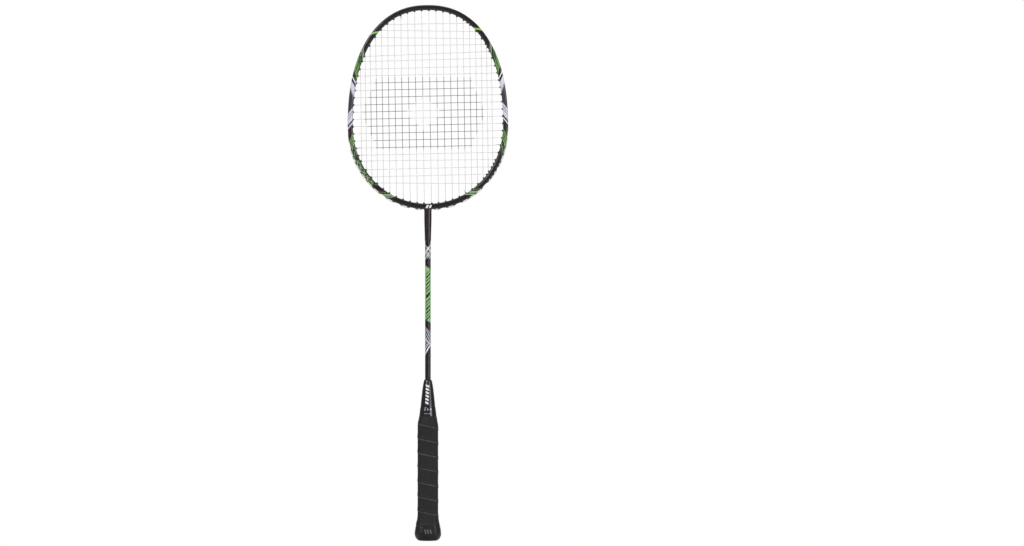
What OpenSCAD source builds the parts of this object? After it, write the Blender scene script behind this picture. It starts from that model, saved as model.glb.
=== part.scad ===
// Badminton racket: a hollow head hoop on a T-joint, a tubular shaft, a wooden handle under
// a wound grip, and two strings threaded through single grommets.
// The origin is the centre of the butt, on its lowest face. +Z runs up the racket to the top
// of the head, +X runs across the head and +Y from the front of the racket to its back.

/* [Overall] */
// Length from the butt to the top of the head
racket_length = 675; // [665:1:680]
// Width over the outside of the head
head_width = 202; // [196:1:206]
// Height of the head above its widest line
head_rise = 150.4; // [146:0.2:154]
// Height of the head below its widest line
head_drop = 107; // [104:0.5:110]
// How square the upper part of the head is, where 2 is an ellipse
crown_power = 2.26; // [2:0.01:2.4]
// How square the lower part of the head is
foot_power = 2.04; // [2:0.01:2.2]

/* [Head frame] */
// Width of the frame's tube in the plane of the strings
rim_width = 6.3; // [6:0.1:7]
// The same width at the bottom of the head
rim_width_foot = 7.1; // [6.6:0.1:7.6]
// Depth of the frame's tube from front to back
rim_depth = 9.5; // [9.4:0.1:10.5]
// Wall of the frame's tube
rim_wall = 1.05; // [0.9:0.05:1.1]
// Depth of the string groove round the outside of the head
groove_depth = 1.8; // [1.7:0.05:1.9]
// Half the width of the string groove
groove_half = 2.25; // [2.2:0.05:2.3]
// Degrees below the widest line at which the groove has died out
groove_end = 25; // [20:1:30]
// Gap between the hoop's two ends, on top of the shaft
hoop_gap = 0.2; // [0.1:0.05:0.4]

/* [Strings] */
// Diameter of the string
string_d = 0.7; // [0.66:0.01:0.7]
// Distance of each string's middle from the mid-plane of the head
string_layer = 0.36; // [0.36:0.01:0.38]
// Main strings on each side of the middle
mains_half = 11; // [11]
// Distance between the two middle mains
main_pitch = 8.95; // [8.9:0.05:9]
// How fast the mains close up towards the sides
main_closing = 0.0098; // [0.0095:0.0001:0.01]
// Cross strings
crosses = 23; // [23]
// Distance between cross strings
cross_pitch = 9.08; // [9:0.02:9.12]
// Height of the middle cross above the butt
cross_mid_z = 551.1; // [550:0.1:552]
// Lean of the mains off the racket's axis, in degrees
main_lean = 0.8; // [0.6:0.1:0.9]
// Slope of the crosses, in degrees
cross_slope = 1.3; // [1:0.1:1.4]

/* [Grommets] */
// Outside diameter of a grommet's barrel
barrel_d = 2.6; // [2.5:0.1:2.7]
// Bore of a grommet
barrel_bore = 1.7; // [1.6:0.1:1.8]
// Diameter of a grommet's flange
flange_d = 4; // [3.8:0.1:4.1]
// Thickness of a grommet's flange
flange_t = 0.6; // [0.5:0.05:0.6]
// How far a grommet's tip stands out of the inside of the frame
tip_proud = 1.2; // [1:0.1:1.4]
// Outside diameter of a barrel that two strings share
wide_barrel_d = 3.2; // [3.1:0.1:3.3]
// Bore of a barrel that two strings share
wide_bore = 2.1; // [2:0.1:2.2]
// Holes closer than this become one shared hole
share_gap = 4.4; // [4.3:0.1:4.5]
// Distance of the two slanted holes beside the shaft from the middle, on the outside
slant_x = 9.1; // [8.8:0.1:9.4]

/* [Shaft and joint] */
// Outside diameter of the shaft
shaft_d = 7.1; // [7:0.1:7.2]
// Bore of the shaft
shaft_bore = 4.6; // [4.5:0.1:4.7]
// Height of the shaft's lower end, inside the handle
shaft_foot_z = 62; // [50:1:80]
// Depth of the shaft's upper end below the head
shaft_top_gap = 4; // [3.5:0.5:5]
// Diameter of the throat sleeve at the head
sleeve_d = 9.2; // [9:0.1:9.3]
// Diameter of the throat sleeve at its lower lip
sleeve_lip_d = 7.8; // [7.7:0.1:8]
// Length of the throat sleeve below the head
sleeve_length = 40; // [36:1:44]
// Diameter of the T-joint's stem
stem_d = 4.4; // [4.2:0.1:4.4]
// Height of the stem's lower end below the head
stem_length = 32; // [28:1:36]

/* [Handle] */
// Distance across the grip's flats
grip_width = 25.8; // [25:0.1:27]
// Distance across the flats at the widest line of the butt
butt_width = 33.5; // [32:0.1:34]
// Height of the widest line of the butt
butt_wide_z = 9; // [8:0.5:10]
// Height at which the butt's flare runs out
flare_top_z = 36; // [32:1:40]
// Corner cut off each corner of the handle's square section
bevel = 4.6; // [4:0.1:5.2]
// Thickness of the grip tape
tape_t = 1.7; // [1.5:0.1:1.8]
// Height at which the grip's shoulder starts
shoulder_z = 146; // [140:1:148]
// Height of the finishing band's lower edge
band_low_z = 157; // [155:1:158]
// Height of the finishing band's upper edge
band_top_z = 168.4; // [167:0.2:170]
// Thickness of the finishing band
band_t = 0.35; // [0.3:0.05:0.4]
// Height of the cone cap's top
cone_top_z = 203; // [200:1:206]
// Diameter of the cone cap at its top
cone_top_d = 8.4; // [8.4:0.1:8.8]
// Diameter of the cone cap above the finishing band
cone_foot_d = 18.4; // [18.2:0.1:18.6]

/* [Hidden] */
$fn = 48;

// ---- Outline of the head ------------------------------------------------------------------

half_width = head_width / 2;
wide_z = racket_length - head_rise;
head_foot_z = wide_z - head_drop;

// Half height and squareness of the head on the side that angle a points to
function semi(a) = sin(a) >= 0 ? head_rise : head_drop;
function power(a) = sin(a) >= 0 ? crown_power : foot_power;

// Distance from the middle of the widest line to the outline
function reach(a) =
    let (n = power(a))
    pow(pow(abs(cos(a)) / half_width, n) + pow(abs(sin(a)) / semi(a), n), -1 / n);

// Point of the outline, as [x, z], and the unit normal that points out of the head there
function outline(a) = [reach(a) * cos(a), wide_z + reach(a) * sin(a)];
function outward(a) =
    let (
        n = power(a),
        x = reach(a) * cos(a),
        z = reach(a) * sin(a),
        slope = [
            sign(x) * pow(abs(x) / half_width, n - 1) / half_width,
            sign(z) * pow(abs(z) / semi(a), n - 1) / semi(a)
        ]
    )
    slope / norm(slope);

// Point that lies depth inside the outline
function inside(a, depth) = outline(a) - depth * outward(a);

// Width of the frame's tube: it thickens round the bottom of the head
function rim(a) = rim_width + (rim_width_foot - rim_width) * pow(max(0, -sin(a)), 4);

// Depth of the string groove: full round the top, dying out below the widest line
groove_fade = 40;
function below_wide(a) = asin(-sin(a));
function groove(a) =
    groove_depth * min(1, max(0, (groove_end - below_wide(a)) / groove_fade));

// ---- Skins over stacked rings ---------------------------------------------------------------

// Triangles between ring after ring of sides points, for rings that turn anticlockwise
// about the way they are stacked; an inner wall faces the other way
function wall_faces(rings, sides, base, inner) = [
    for (r = [0 : rings - 2], s = [0 : sides - 1], half = [0, 1])
        let (
            a = base + r * sides + s,
            b = base + r * sides + (s + 1) % sides,
            face = half == 0 ? [b + sides, b, a] : [a + sides, b + sides, a]
        )
        inner ? [face[2], face[1], face[0]] : face
];

// Flat end of a solid stack
function end_face(sides, base, last) = [
    last ? [for (s = [sides - 1 : -1 : 0]) base + s] : [for (s = [0 : sides - 1]) base + s]
];

// Flat ring between an outer and an inner ring of points
function ring_face(sides, outer, inner, last) = [
    for (s = [0 : sides - 1], half = [0, 1])
        let (
            t = (s + 1) % sides,
            face = half == 0 ? [inner + t, inner + s, outer + s] : [outer + t, inner + t, outer + s]
        )
        last ? [face[2], face[1], face[0]] : face
];

function flat_list(lists) = [for (list = lists) each list];

// Solid stack of rings
module solid_stack(rings) {
    sides = len(rings[0]);
    count = len(rings);
    polyhedron(
        points = flat_list(rings),
        faces = concat(
            wall_faces(count, sides, 0, false),
            end_face(sides, 0, false),
            end_face(sides, (count - 1) * sides, true)
        )
    );
}

// Tube with open ends: outer rings, then inner rings that may be fewer
module tube_stack(outer_rings, inner_rings) {
    sides = len(outer_rings[0]);
    outers = len(outer_rings);
    inners = len(inner_rings);
    inner_base = outers * sides;
    polyhedron(
        points = concat(flat_list(outer_rings), flat_list(inner_rings)),
        faces = concat(
            wall_faces(outers, sides, 0, false),
            wall_faces(inners, sides, inner_base, true),
            ring_face(sides, 0, inner_base, false),
            ring_face(sides, (outers - 1) * sides, inner_base + (inners - 1) * sides, true)
        )
    );
}

// ---- Sections of the frame's tube -----------------------------------------------------------

outer_round = 2.3;
inner_round = 2.6;
corner_steps = 3;
groove_lip = 0.25;

// Points are [depth inside the outline, distance behind the mid-plane]
function corner(centre, r, from, to) = [
    for (k = [0 : corner_steps])
        let (t = from + (to - from) * k / corner_steps)
        centre + r * [cos(t), sin(t)]
];
function skin_section(a) =
    let (
        w = rim(a),
        h = rim_depth / 2
    )
    concat(
        [[groove(a), groove_half - groove_lip], [0, groove_half]],
        corner([outer_round, h - outer_round], outer_round, 180, 90),
        corner([w - inner_round, h - inner_round], inner_round, 90, 0),
        corner([w - inner_round, inner_round - h], inner_round, 0, -90),
        corner([outer_round, outer_round - h], outer_round, -90, -180),
        [[0, -groove_half], [groove(a), groove_lip - groove_half]]
    );

// Inside of the tube: an ellipse that leaves the wall all round, with as many points as the skin
function bore_semi(a, gap) = [
    (rim(a) - groove(a)) / 2 - rim_wall - gap,
    rim_depth / 2 - rim_wall - gap
];
function bore_centre(a) = [(rim(a) + groove(a)) / 2, 0];
function bore_section(a, gap) =
    let (
        sides = len(skin_section(a)),
        s = bore_semi(a, gap)
    )
    [
        for (k = [0 : sides - 1])
            let (t = 180 - 360 * (k + 0.5) / sides)
            bore_centre(a) + [s.x * cos(t), s.y * sin(t)]
    ];

// Section carried to its place on the head
function placed(a, section) = [
    for (p = section)
        let (at = inside(a, p.x))
        [at.x, p.y, at.y]
];

rim_steps = 72;
bore_steps = 48;
half_split = asin(hoop_gap / 2 / head_drop);
hoop_start = -90 + half_split;
hoop_turn = 360 - 2 * half_split;
function hoop_angle(k, steps) = hoop_start + hoop_turn * k / steps;

// ---- String holes -----------------------------------------------------------------------------

seat_gap = 0.06;
search_steps = 34;
main_pivot_z = head_foot_z + rim_width_foot;

function main_x(i) = main_pitch * (i - 0.5) - main_closing * pow(i - 0.5, 3);
function cross_z(j) = cross_mid_z + (j - (crosses + 1) / 2) * cross_pitch;

// Tip of a square hole's grommet, and how far it is from the string's line
function tip(a) = inside(a, rim(a) + tip_proud);
function main_miss(a, x) = tip(a).x - x + (tip(a).y - main_pivot_z) * tan(main_lean);
function cross_miss(a, z) = tip(a).y - z - tip(a).x * tan(cross_slope);

// Angle between low and high at which the tip lies on the line, by halving the span
function find_main(x, low, high, n = search_steps) =
    let (mid = (low + high) / 2)
    n == 0 ? mid
    : (main_miss(low, x) > 0) == (main_miss(mid, x) > 0) ? find_main(x, mid, high, n - 1)
    : find_main(x, low, mid, n - 1);
function find_cross(z, low, high, n = search_steps) =
    let (mid = (low + high) / 2)
    n == 0 ? mid
    : (cross_miss(low, z) > 0) == (cross_miss(mid, z) > 0) ? find_cross(z, mid, high, n - 1)
    : find_cross(z, low, mid, n - 1);

// A hole is [seat of the flange, unit vector into the head, length to the tip, angle, sink]
function square_hole(a) = [
    inside(a, groove(a) - seat_gap),
    -outward(a),
    rim(a) - groove(a) + seat_gap + tip_proud,
    a,
    0
];

// The hole beside the shaft slants outwards to clear the throat sleeve
slant_sink = 0.5;
function slant_hole(side) =
    let (
        a = -90 + side * atan(slant_x / head_drop),
        foot = find_main(side * main_x(1), -170, -10),
        way = tip(foot) - outline(a),
        u = way / norm(way)
    )
    [outline(a) + slant_sink * u, u, norm(way) - slant_sink, a, slant_sink];

top_low = 2;
top_high = 178;
function main_top(side, i) = square_hole(find_main(side * main_x(i), top_low, top_high));
function main_foot(side, i) =
    i == 1 ? slant_hole(side) : square_hole(find_main(side * main_x(i), -top_high, -top_low));
MAIN_TOPS = [for (side = [-1, 1]) [for (i = [1 : mains_half]) main_top(side, i)]];
MAIN_FEET = [for (side = [-1, 1]) [for (i = [1 : mains_half]) main_foot(side, i)]];
MAIN_HOLES = concat(MAIN_TOPS[0], MAIN_TOPS[1], MAIN_FEET[0], MAIN_FEET[1]);

function cross_angle(side, j) =
    side > 0 ? find_cross(cross_z(j), -89, 89) : find_cross(cross_z(j), 91, 269);
function near_mains(hole) = [for (m = MAIN_HOLES) if (norm(m[0] - hole[0]) < share_gap) m];
function cross_hole(side, j) =
    let (
        own = square_hole(cross_angle(side, j)),
        near = near_mains(own)
    )
    len(near) > 0 ? near[0] : own;
CROSS_HOLES = [for (side = [-1, 1]) [for (j = [1 : crosses]) cross_hole(side, j)]];
ALL_CROSS = concat(CROSS_HOLES[0], CROSS_HOLES[1]);

same_place = 0.01;
function gap_to(hole, others) = min([for (o = others) norm(o[0] - hole[0])]);
function is_shared(main) = gap_to(main, ALL_CROSS) < same_place;
function is_own(cross) = gap_to(cross, MAIN_HOLES) >= same_place;
SHARED = [for (m = MAIN_HOLES) if (is_shared(m)) m];
PLAIN = concat(
    [for (m = MAIN_HOLES) if (!is_shared(m)) m],
    [for (c = ALL_CROSS) if (is_own(c)) c]
);
SLANTED = [for (side = [0, 1]) MAIN_FEET[side][0]];

// Angle of a hole counted from the right end of the widest line, 0 to 360
function round_angle(hole) = (hole[3] + 360) % 360;
function is_slanted(hole) = gap_to(hole, SLANTED) < same_place;
function between(low, high) = [
    for (h = PLAIN)
        if (round_angle(h) >= low && round_angle(h) < high && !is_slanted(h)) h
];

// ---- String routes --------------------------------------------------------------------------------

run_gap = 0.55;
bend_gap = 0.5;
run_step = 5;
string_sides = 6;

function on_layer(p, y) = [p.x, y, p.y];
function hole_out(hole, y) =
    on_layer(hole[0] - (flange_t + run_gap + hole[4]) * hole[1], y);
function hole_in(hole, y) = on_layer(hole[0] + (hole[2] + bend_gap) * hole[1], y);

// Run along the outside of the head from one hole to the next, without its two ends
function run_between(from, to, y) =
    let (
        raw = to[3] - from[3],
        turn = raw > 180 ? raw - 360 : raw < -180 ? raw + 360 : raw,
        parts = ceil(abs(turn) / run_step)
    )
    [
        for (k = [1 : 1 : parts - 1])
            let (a = from[3] + turn * k / parts)
            on_layer(inside(a, groove(a) - seat_gap - flange_t - run_gap), y)
    ];

// A string enters the head through one hole and leaves it through the other
function pass(enter, leave, y) = [
    hole_out(enter, y), hole_in(enter, y), hole_in(leave, y), hole_out(leave, y)
];

// Route through a list of [enter, leave] pairs
function route(pairs, y) = [
    for (k = [0 : len(pairs) - 1])
        each concat(
            pass(pairs[k][0], pairs[k][1], y),
            k < len(pairs) - 1 ? run_between(pairs[k][1], pairs[k + 1][0], y) : []
        )
];

// Tail that runs from a hole to a tie-off hole and ends in a knot just inside the frame
knot_r = 0.8;
knot_lead = 1;
knot_slope = 0.6;
knot_end = 2.4;
knot_stub = 2;
knot_lift = 0.75;
knot_steps = [
    knot_lead, knot_lead + knot_slope, knot_end, knot_end + knot_slope, knot_end + knot_stub
];
function tail(from, tie, y) =
    let (
        end = hole_in(tie, y),
        way = on_layer(tie[1], 0),
        lift = [0, sign(y) * knot_lift, 0]
    )
    concat(
        run_between(from, tie, y),
        [hole_out(tie, y), end],
        [for (step = knot_steps) end + lift + step * way]
    );
TAIL_RADII = [string_d / 2, knot_r, knot_r, string_d / 2, string_d / 2];

function reversed(list) = [for (k = [len(list) - 1 : -1 : 0]) list[k]];
function unit(v) = v / norm(v);

// Radius at each point of a string with a knot at both ends
function string_radii(count) =
    concat(
        reversed(TAIL_RADII),
        [for (k = [1 : count - 2 * len(TAIL_RADII)]) string_d / 2],
        TAIL_RADII
    );

// Rings of a string: each lies in the plane that halves the bend at its point
function bend_plane(path, k) =
    k == 0 ? unit(path[1] - path[0])
    : k == len(path) - 1 ? unit(path[k] - path[k - 1])
    : unit(unit(path[k] - path[k - 1]) + unit(path[k + 1] - path[k]));
function start_ring(path) =
    let (
        way = unit(path[1] - path[0]),
        across = unit(cross(way, [0, 1, 0])),
        up = cross(across, way)
    )
    [
        for (s = [0 : string_sides - 1])
            let (t = 360 * s / string_sides)
            across * cos(t) - up * sin(t)
    ];
function slid_ring(ring, way, plane) = [
    for (v = ring) v - way * (v * plane) / (way * plane)
];
function square_ring(ring, way) = [for (v = ring) unit(v - way * (v * way))];
function string_rings(path, radii, ring, k = 0, done = []) =
    k == len(path) ? done
    : let (
        way = unit(path[min(k + 1, len(path) - 1)] - path[min(k, len(path) - 2)]),
        before = k == 0 ? way : unit(path[k] - path[k - 1]),
        flat = square_ring(ring, before),
        bent = slid_ring(flat, before, bend_plane(path, k)),
        placed_ring = [for (v = bent) path[k] + radii[k] * v]
    )
    string_rings(path, radii, slid_ring(bent, way, way), k + 1, concat(done, [placed_ring]));

module string_along(path) {
    radii = string_radii(len(path));
    solid_stack(string_rings(path, radii, start_ring(path)));
}

// Mains: odd ones run downwards and even ones upwards, counted from the middle
function main_half(side) = [
    for (k = [0 : mains_half - 1])
        let (
            top = MAIN_TOPS[side][k],
            foot = MAIN_FEET[side][k]
        )
        k % 2 == 0 ? [top, foot] : [foot, top]
];
tie_cross = 6;
function main_side(side, y) =
    concat(
        route(main_half(side), y),
        tail(MAIN_FEET[side][mains_half - 1], CROSS_HOLES[side][tie_cross - 1], y)
    );
MAIN_PATH = concat(
    reversed(main_side(0, string_layer)),
    run_between(MAIN_TOPS[0][0], MAIN_TOPS[1][0], string_layer),
    main_side(1, string_layer)
);

// Crosses: the top one starts on the left and the lowest one ends on the right
top_tie_main = 4;
foot_tie_main = 6;
CROSS_PAIRS = [
    for (k = [0 : crosses - 1])
        let (
            left = CROSS_HOLES[0][crosses - 1 - k],
            right = CROSS_HOLES[1][crosses - 1 - k]
        )
        k % 2 == 0 ? [left, right] : [right, left]
];
CROSS_PATH = concat(
    reversed(tail(CROSS_PAIRS[0][0], MAIN_TOPS[0][top_tie_main - 1], -string_layer)),
    route(CROSS_PAIRS, -string_layer),
    tail(CROSS_PAIRS[crosses - 1][1], MAIN_FEET[1][foot_tie_main - 1], -string_layer)
);

// ---- Handle sections --------------------------------------------------------------------------------

grip_half = grip_width / 2;
butt_half = butt_width / 2;
butt_flat_r = 9.5;
flare_shape = 0.85;
band_low_r = 11.05;
band_top_r = 9.65;
grip_low_z = 2.5;
skirt_low_z = 158;
tape_top_z = 165;
spigot_r = 7.8;
skirt_gap = 0.05;
glue_gap = 0.01;
band_gap = 0.05;
tape_tuck = 0.3;

function ease(t) = let (u = min(1, max(0, t))) u * u * (3 - 2 * u);
function mix(a, b, t) = a + (b - a) * t;

// Half width of the finished grip at height z
function grip_r(z) =
    z < butt_wide_z
        ? butt_flat_r + (butt_half - butt_flat_r) * sqrt(1 - pow(1 - z / butt_wide_z, 2))
    : z < flare_top_z
        ? mix(butt_half, grip_half,
            ease(pow((z - butt_wide_z) / (flare_top_z - butt_wide_z), flare_shape)))
    : z < shoulder_z ? grip_half
    : mix(grip_half, band_low_r, (z - shoulder_z) / (band_low_z - shoulder_z));

// How round the section is: 0 is the bevelled square, 1 a circle
butt_round = 0.35;
function roundness(z) =
    z < butt_wide_z ? mix(1, butt_round, (z - grip_low_z) / (butt_wide_z - grip_low_z))
    : z < flare_top_z ? mix(butt_round, 0, (z - butt_wide_z) / (flare_top_z - butt_wide_z))
    : z < shoulder_z ? 0
    : min(1, (z - shoulder_z) / (band_low_z - shoulder_z));

// Ring of the handle: a bevelled square with each of its eight corners broken, and points
// along its sides, so that it can round off into a full circle
corner_break = 0.9;
flat_parts = 6;
bevel_parts = 2;
function octagon(r, cut) =
    let (e = r - cut)
    [[r, -e], [r, e], [e, r], [-e, r], [-r, e], [-r, -e], [-e, -r], [e, -r]];
function side_points(from, to, parts) =
    let (
        way = unit(to - from),
        run = norm(to - from) - 2 * corner_break
    )
    [for (m = [0 : parts]) from + way * (corner_break + run * m / parts)];
function broken_octagon(r, cut) =
    let (o = octagon(r, cut))
    [
        for (k = [0 : 7])
            each side_points(o[k], o[(k + 1) % 8], k % 2 == 0 ? flat_parts : bevel_parts)
    ];
function handle_ring(r, round_by, z) = [
    for (p = broken_octagon(r, bevel * r / grip_half))
        let (q = mix(p, unit(p) * r, round_by))
        [q.x, q.y, z]
];

butt_zs = [for (k = [0 : 5]) mix(grip_low_z, butt_wide_z, k / 5)];
flare_zs = [for (k = [1 : 8]) mix(butt_wide_z, flare_top_z, k / 8)];
handle_zs = concat(butt_zs, flare_zs, [shoulder_z, (shoulder_z + band_low_z) / 2, band_low_z]);

// Staple that holds the start of the tape on the back of the butt, against the wood
staple_z = 17;
staple_crown = 8;
staple_leg = 5;
staple_wire = 0.6;
staple_lift = 0.3;
function staple_face() = grip_r(staple_z) - tape_t + staple_lift;
module staple_shape(grow) {
    thick = staple_wire + 2 * grow;
    translate([0, staple_face() - grow, staple_z - grow]) {
        translate([-staple_crown / 2 - grow, 0, 0])
            cube([staple_crown + 2 * grow, thick, thick]);
        for (side = [-1, 1])
            translate([side * (staple_crown - staple_wire) / 2 - thick / 2, -staple_leg, 0])
                cube([thick, staple_leg + grow, thick]);
    }
}

// ---- Sub-parts ----------------------------------------------------------------------------------------

// Cylinder along a hole's axis, from one distance past the flange seat to another
module along_hole(hole, from, to, r) {
    start = hole[0] + from * hole[1];
    translate([start.x, 0, start.y])
        rotate([0, atan2(hole[1].x, hole[1].y), 0])
            cylinder(h = to - from, r = r, $fn = 24);
}

hole_play = 0.05;
past = 2;
module drilled(holes, r) {
    for (h = holes)
        along_hole(h, -past, h[2] + past, r + hole_play);
}

stem_play = 0.15;
module stem_hole() {
    translate([0, 0, head_foot_z - past])
        cylinder(h = past + rim_width_foot / 2, d = stem_d + 2 * stem_play);
}

// Section without its groove, for the bottom of the head, where the groove has died out
function plain_section(a) =
    let (s = skin_section(a))
    [for (k = [2 : len(s) - 3]) s[k]];
module hoop_skin(first, last) {
    solid_stack([
        for (k = [first : last])
            let (a = hoop_angle(k, rim_steps))
            placed(a, plain_section(a))
    ]);
}

module head_frame() {
    color([0.13, 0.12, 0.13])
        difference() {
            tube_stack(
                [
                    for (k = [0 : rim_steps])
                        let (a = hoop_angle(k, rim_steps))
                        placed(a, skin_section(a))
                ],
                [
                    for (k = [0 : bore_steps])
                        let (a = hoop_angle(k, bore_steps))
                        placed(a, bore_section(a, 0))
                ]
            );
            drilled(PLAIN, barrel_d / 2);
            drilled(SHARED, wide_barrel_d / 2);
            for (h = SLANTED)
                along_hole(h, -past, 0, flange_d / 2 + seat_gap);
            stem_hole();
        }
}

// T-joint: two arms that bend into the hoop's ends and a stem down into the shaft
arm_steps = 2;
arm_holes = 3;
arm_gap = 0.3;
module t_joint() {
    arm_angles = concat(
        [for (k = [bore_steps - arm_steps : bore_steps]) hoop_angle(k, bore_steps) - 360],
        [for (k = [0 : arm_steps]) hoop_angle(k, bore_steps)]
    );
    middle_z = head_foot_z + rim_width_foot / 2;
    color([0.62, 0.62, 0.65])
        difference() {
            union() {
                solid_stack([for (a = arm_angles) placed(a, bore_section(a, arm_gap))]);
                translate([0, 0, head_foot_z - stem_length])
                    cylinder(h = middle_z - head_foot_z + stem_length, d = stem_d);
            }
            for (side = [0, 1], i = [0 : arm_holes - 1])
                let (h = MAIN_FEET[side][i])
                along_hole(h, 0, h[2], barrel_d / 2 + stem_play);
        }
}

sleeve_foot_z = head_foot_z - sleeve_length;
shaft_top_z = head_foot_z - shaft_top_gap;
shaft_play = 0.04;
saddle_rise = 2.2;
module throat_sleeve() {
    straight = 12;
    color([0.13, 0.12, 0.13])
        difference() {
            translate([0, 0, sleeve_foot_z]) {
                cylinder(h = sleeve_length - straight, d1 = sleeve_lip_d, d2 = sleeve_d);
                translate([0, 0, sleeve_length - straight])
                    cylinder(h = straight + saddle_rise, d = sleeve_d);
            }
            translate([0, 0, sleeve_foot_z - 1])
                cylinder(h = shaft_top_z - sleeve_foot_z + 1, d = shaft_d + 2 * shaft_play);
            translate([0, 0, sleeve_foot_z])
                cylinder(h = sleeve_length + 2 * saddle_rise, d = stem_d + 2 * stem_play);
            hoop_skin(0, 2);
            hoop_skin(rim_steps - 2, rim_steps);
            translate([0, 0, head_foot_z + saddle_rise])
                cube([2 * hoop_gap, rim_depth, 2 * saddle_rise], center = true);
        }
}

module shaft() {
    color([0.13, 0.12, 0.13])
        translate([0, 0, shaft_foot_z])
            difference() {
                cylinder(h = shaft_top_z - shaft_foot_z, d = shaft_d);
                translate([0, 0, -1])
                    cylinder(h = shaft_top_z - shaft_foot_z + 2, d = shaft_bore);
            }
}

cone_steps = 10;
cone_bulge = 0.6;
cone_curve = 1.5;
cone_slope = 2.4;
cone_throat = 9;
spigot_top_z = 171;
module cone_cap() {
    top_r = cone_top_d / 2;
    foot_r = cone_foot_d / 2;
    rise = cone_top_z - band_top_z;
    outer = [
        for (k = [0 : cone_steps])
            let (t = pow(k / cone_steps, cone_curve))
            [top_r + (foot_r - top_r) * pow(t, cone_bulge), cone_top_z - t * rise]
    ];
    shaft_r = shaft_d / 2 + shaft_play;
    skirt_r = spigot_r + skirt_gap;
    color([0.1, 0.1, 0.11])
        rotate_extrude()
            polygon(concat(
                outer,
                [
                    [foot_r, skirt_low_z],
                    [skirt_r, skirt_low_z],
                    [skirt_r, spigot_top_z + skirt_gap],
                    [foot_r - cone_slope, spigot_top_z + cone_slope],
                    [shaft_r, cone_top_z - cone_throat],
                    [shaft_r, cone_top_z]
                ]
            ));
}

plug_r = 4.8;
plug_h = 8;
module handle_core() {
    color([0.72, 0.55, 0.36])
        difference() {
            union() {
                solid_stack([for (z = handle_zs) handle_ring(grip_r(z) - tape_t, roundness(z), z)]);
                translate([0, 0, band_low_z])
                    cylinder(h = spigot_top_z - band_low_z, r = spigot_r);
            }
            translate([0, 0, shaft_foot_z - 1])
                cylinder(h = spigot_top_z - shaft_foot_z + 2, d = shaft_d + 2 * shaft_play);
            translate([0, 0, grip_low_z - 1])
                cylinder(h = plug_h + 2, r = plug_r + skirt_gap);
            staple_shape(skirt_gap);
        }
}

// Grip tape: the wound sleeve over the wood, with its top edge tucked under the band
module grip_tape() {
    top_inner = cone_foot_d / 2 + skirt_gap;
    outer = concat(
        [for (z = handle_zs) handle_ring(grip_r(z), roundness(z), z)],
        [
            handle_ring(band_low_r - band_t, 1, band_low_z + band_gap),
            handle_ring(band_top_r - band_t + tape_tuck, 1, tape_top_z)
        ]
    );
    inner = concat(
        [for (z = handle_zs) handle_ring(grip_r(z) - tape_t + glue_gap, roundness(z), z)],
        [
            handle_ring(top_inner, 1, skirt_low_z),
            handle_ring(top_inner, 1, tape_top_z)
        ]
    );
    color([0.15, 0.15, 0.15])
        difference() {
            tube_stack(outer, inner);
            staple_shape(skirt_gap);
        }
}

module finishing_band() {
    skirt = cone_foot_d / 2 + band_gap;
    tape_r = band_top_r - band_t + tape_tuck + band_gap;
    low_z = band_low_z + band_gap;
    step_z = tape_top_z + band_gap;
    color([0.05, 0.05, 0.06])
        rotate_extrude()
            polygon([
                [band_low_r - band_t + band_gap, low_z],
                [band_low_r, low_z],
                [band_top_r, band_top_z],
                [skirt, band_top_z],
                [skirt, step_z],
                [tape_r, step_z]
            ]);
}

dome_steps = 6;
rim_break = 0.3;
module butt_cap() {
    rim_z = grip_low_z - skirt_gap;
    dome = [
        for (k = [0 : dome_steps])
            let (z = rim_z * k / dome_steps)
            [grip_r(z) - (k == dome_steps ? rim_break : 0), z]
    ];
    color([0.08, 0.08, 0.09])
        rotate_extrude()
            polygon(concat(
                [[0, 0]],
                dome,
                [
                    [plug_r, rim_z],
                    [plug_r, plug_h],
                    [0, plug_h]
                ]
            ));
}

module grip_staple() {
    color([0.75, 0.76, 0.78])
        staple_shape(0);
}

module main_string() {
    color([0.93, 0.93, 0.9])
        string_along(MAIN_PATH);
}

module cross_string() {
    color([0.93, 0.93, 0.9])
        string_along(CROSS_PATH);
}

// One grommet: flange on the outside of the frame, barrel through it, tip inside the head
module grommet(hole, barrel, bore, flange) {
    difference() {
        union() {
            along_hole(hole, -flange_t, 0, flange / 2);
            along_hole(hole, -flange_t / 2, hole[2], barrel / 2);
        }
        along_hole(hole, -flange_t - 1, hole[2] + 1, bore / 2);
    }
}

module grommet_set(holes) {
    color([0.11, 0.11, 0.12])
        for (h = holes)
            grommet(h, barrel_d, barrel_bore, flange_d);
}

crown_half = 25;
shoulder_low = 20;
side_low = -20;
heel_low = -62;
module crown_grommets() grommet_set(between(90 - crown_half, 90 + crown_half));
module right_shoulder_grommets() grommet_set(between(shoulder_low, 90 - crown_half));
module left_shoulder_grommets() grommet_set(between(90 + crown_half, 180 - shoulder_low));
module right_side_grommets()
    grommet_set(concat(between(0, shoulder_low), between(360 + side_low, 360)));
module left_side_grommets() grommet_set(between(180 - shoulder_low, 180 - side_low));
module left_heel_grommets() grommet_set(between(180 - side_low, 180 - heel_low));
module throat_grommets() grommet_set(between(180 - heel_low, 360 + heel_low));
module right_heel_grommets() grommet_set(between(360 + heel_low, 360 + side_low));
module slanted_grommets() grommet_set(SLANTED);

module shared_grommets() {
    color([0.11, 0.11, 0.12])
        for (h = SHARED)
            grommet(h, wide_barrel_d, wide_bore, flange_d);
}

head_frame();
t_joint();
throat_sleeve();
shaft();
cone_cap();
handle_core();
grip_tape();
finishing_band();
butt_cap();
grip_staple();
main_string();
cross_string();
crown_grommets();
left_shoulder_grommets();
right_shoulder_grommets();
left_side_grommets();
right_side_grommets();
left_heel_grommets();
right_heel_grommets();
throat_grommets();
slanted_grommets();
shared_grommets();
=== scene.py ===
import math

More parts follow.
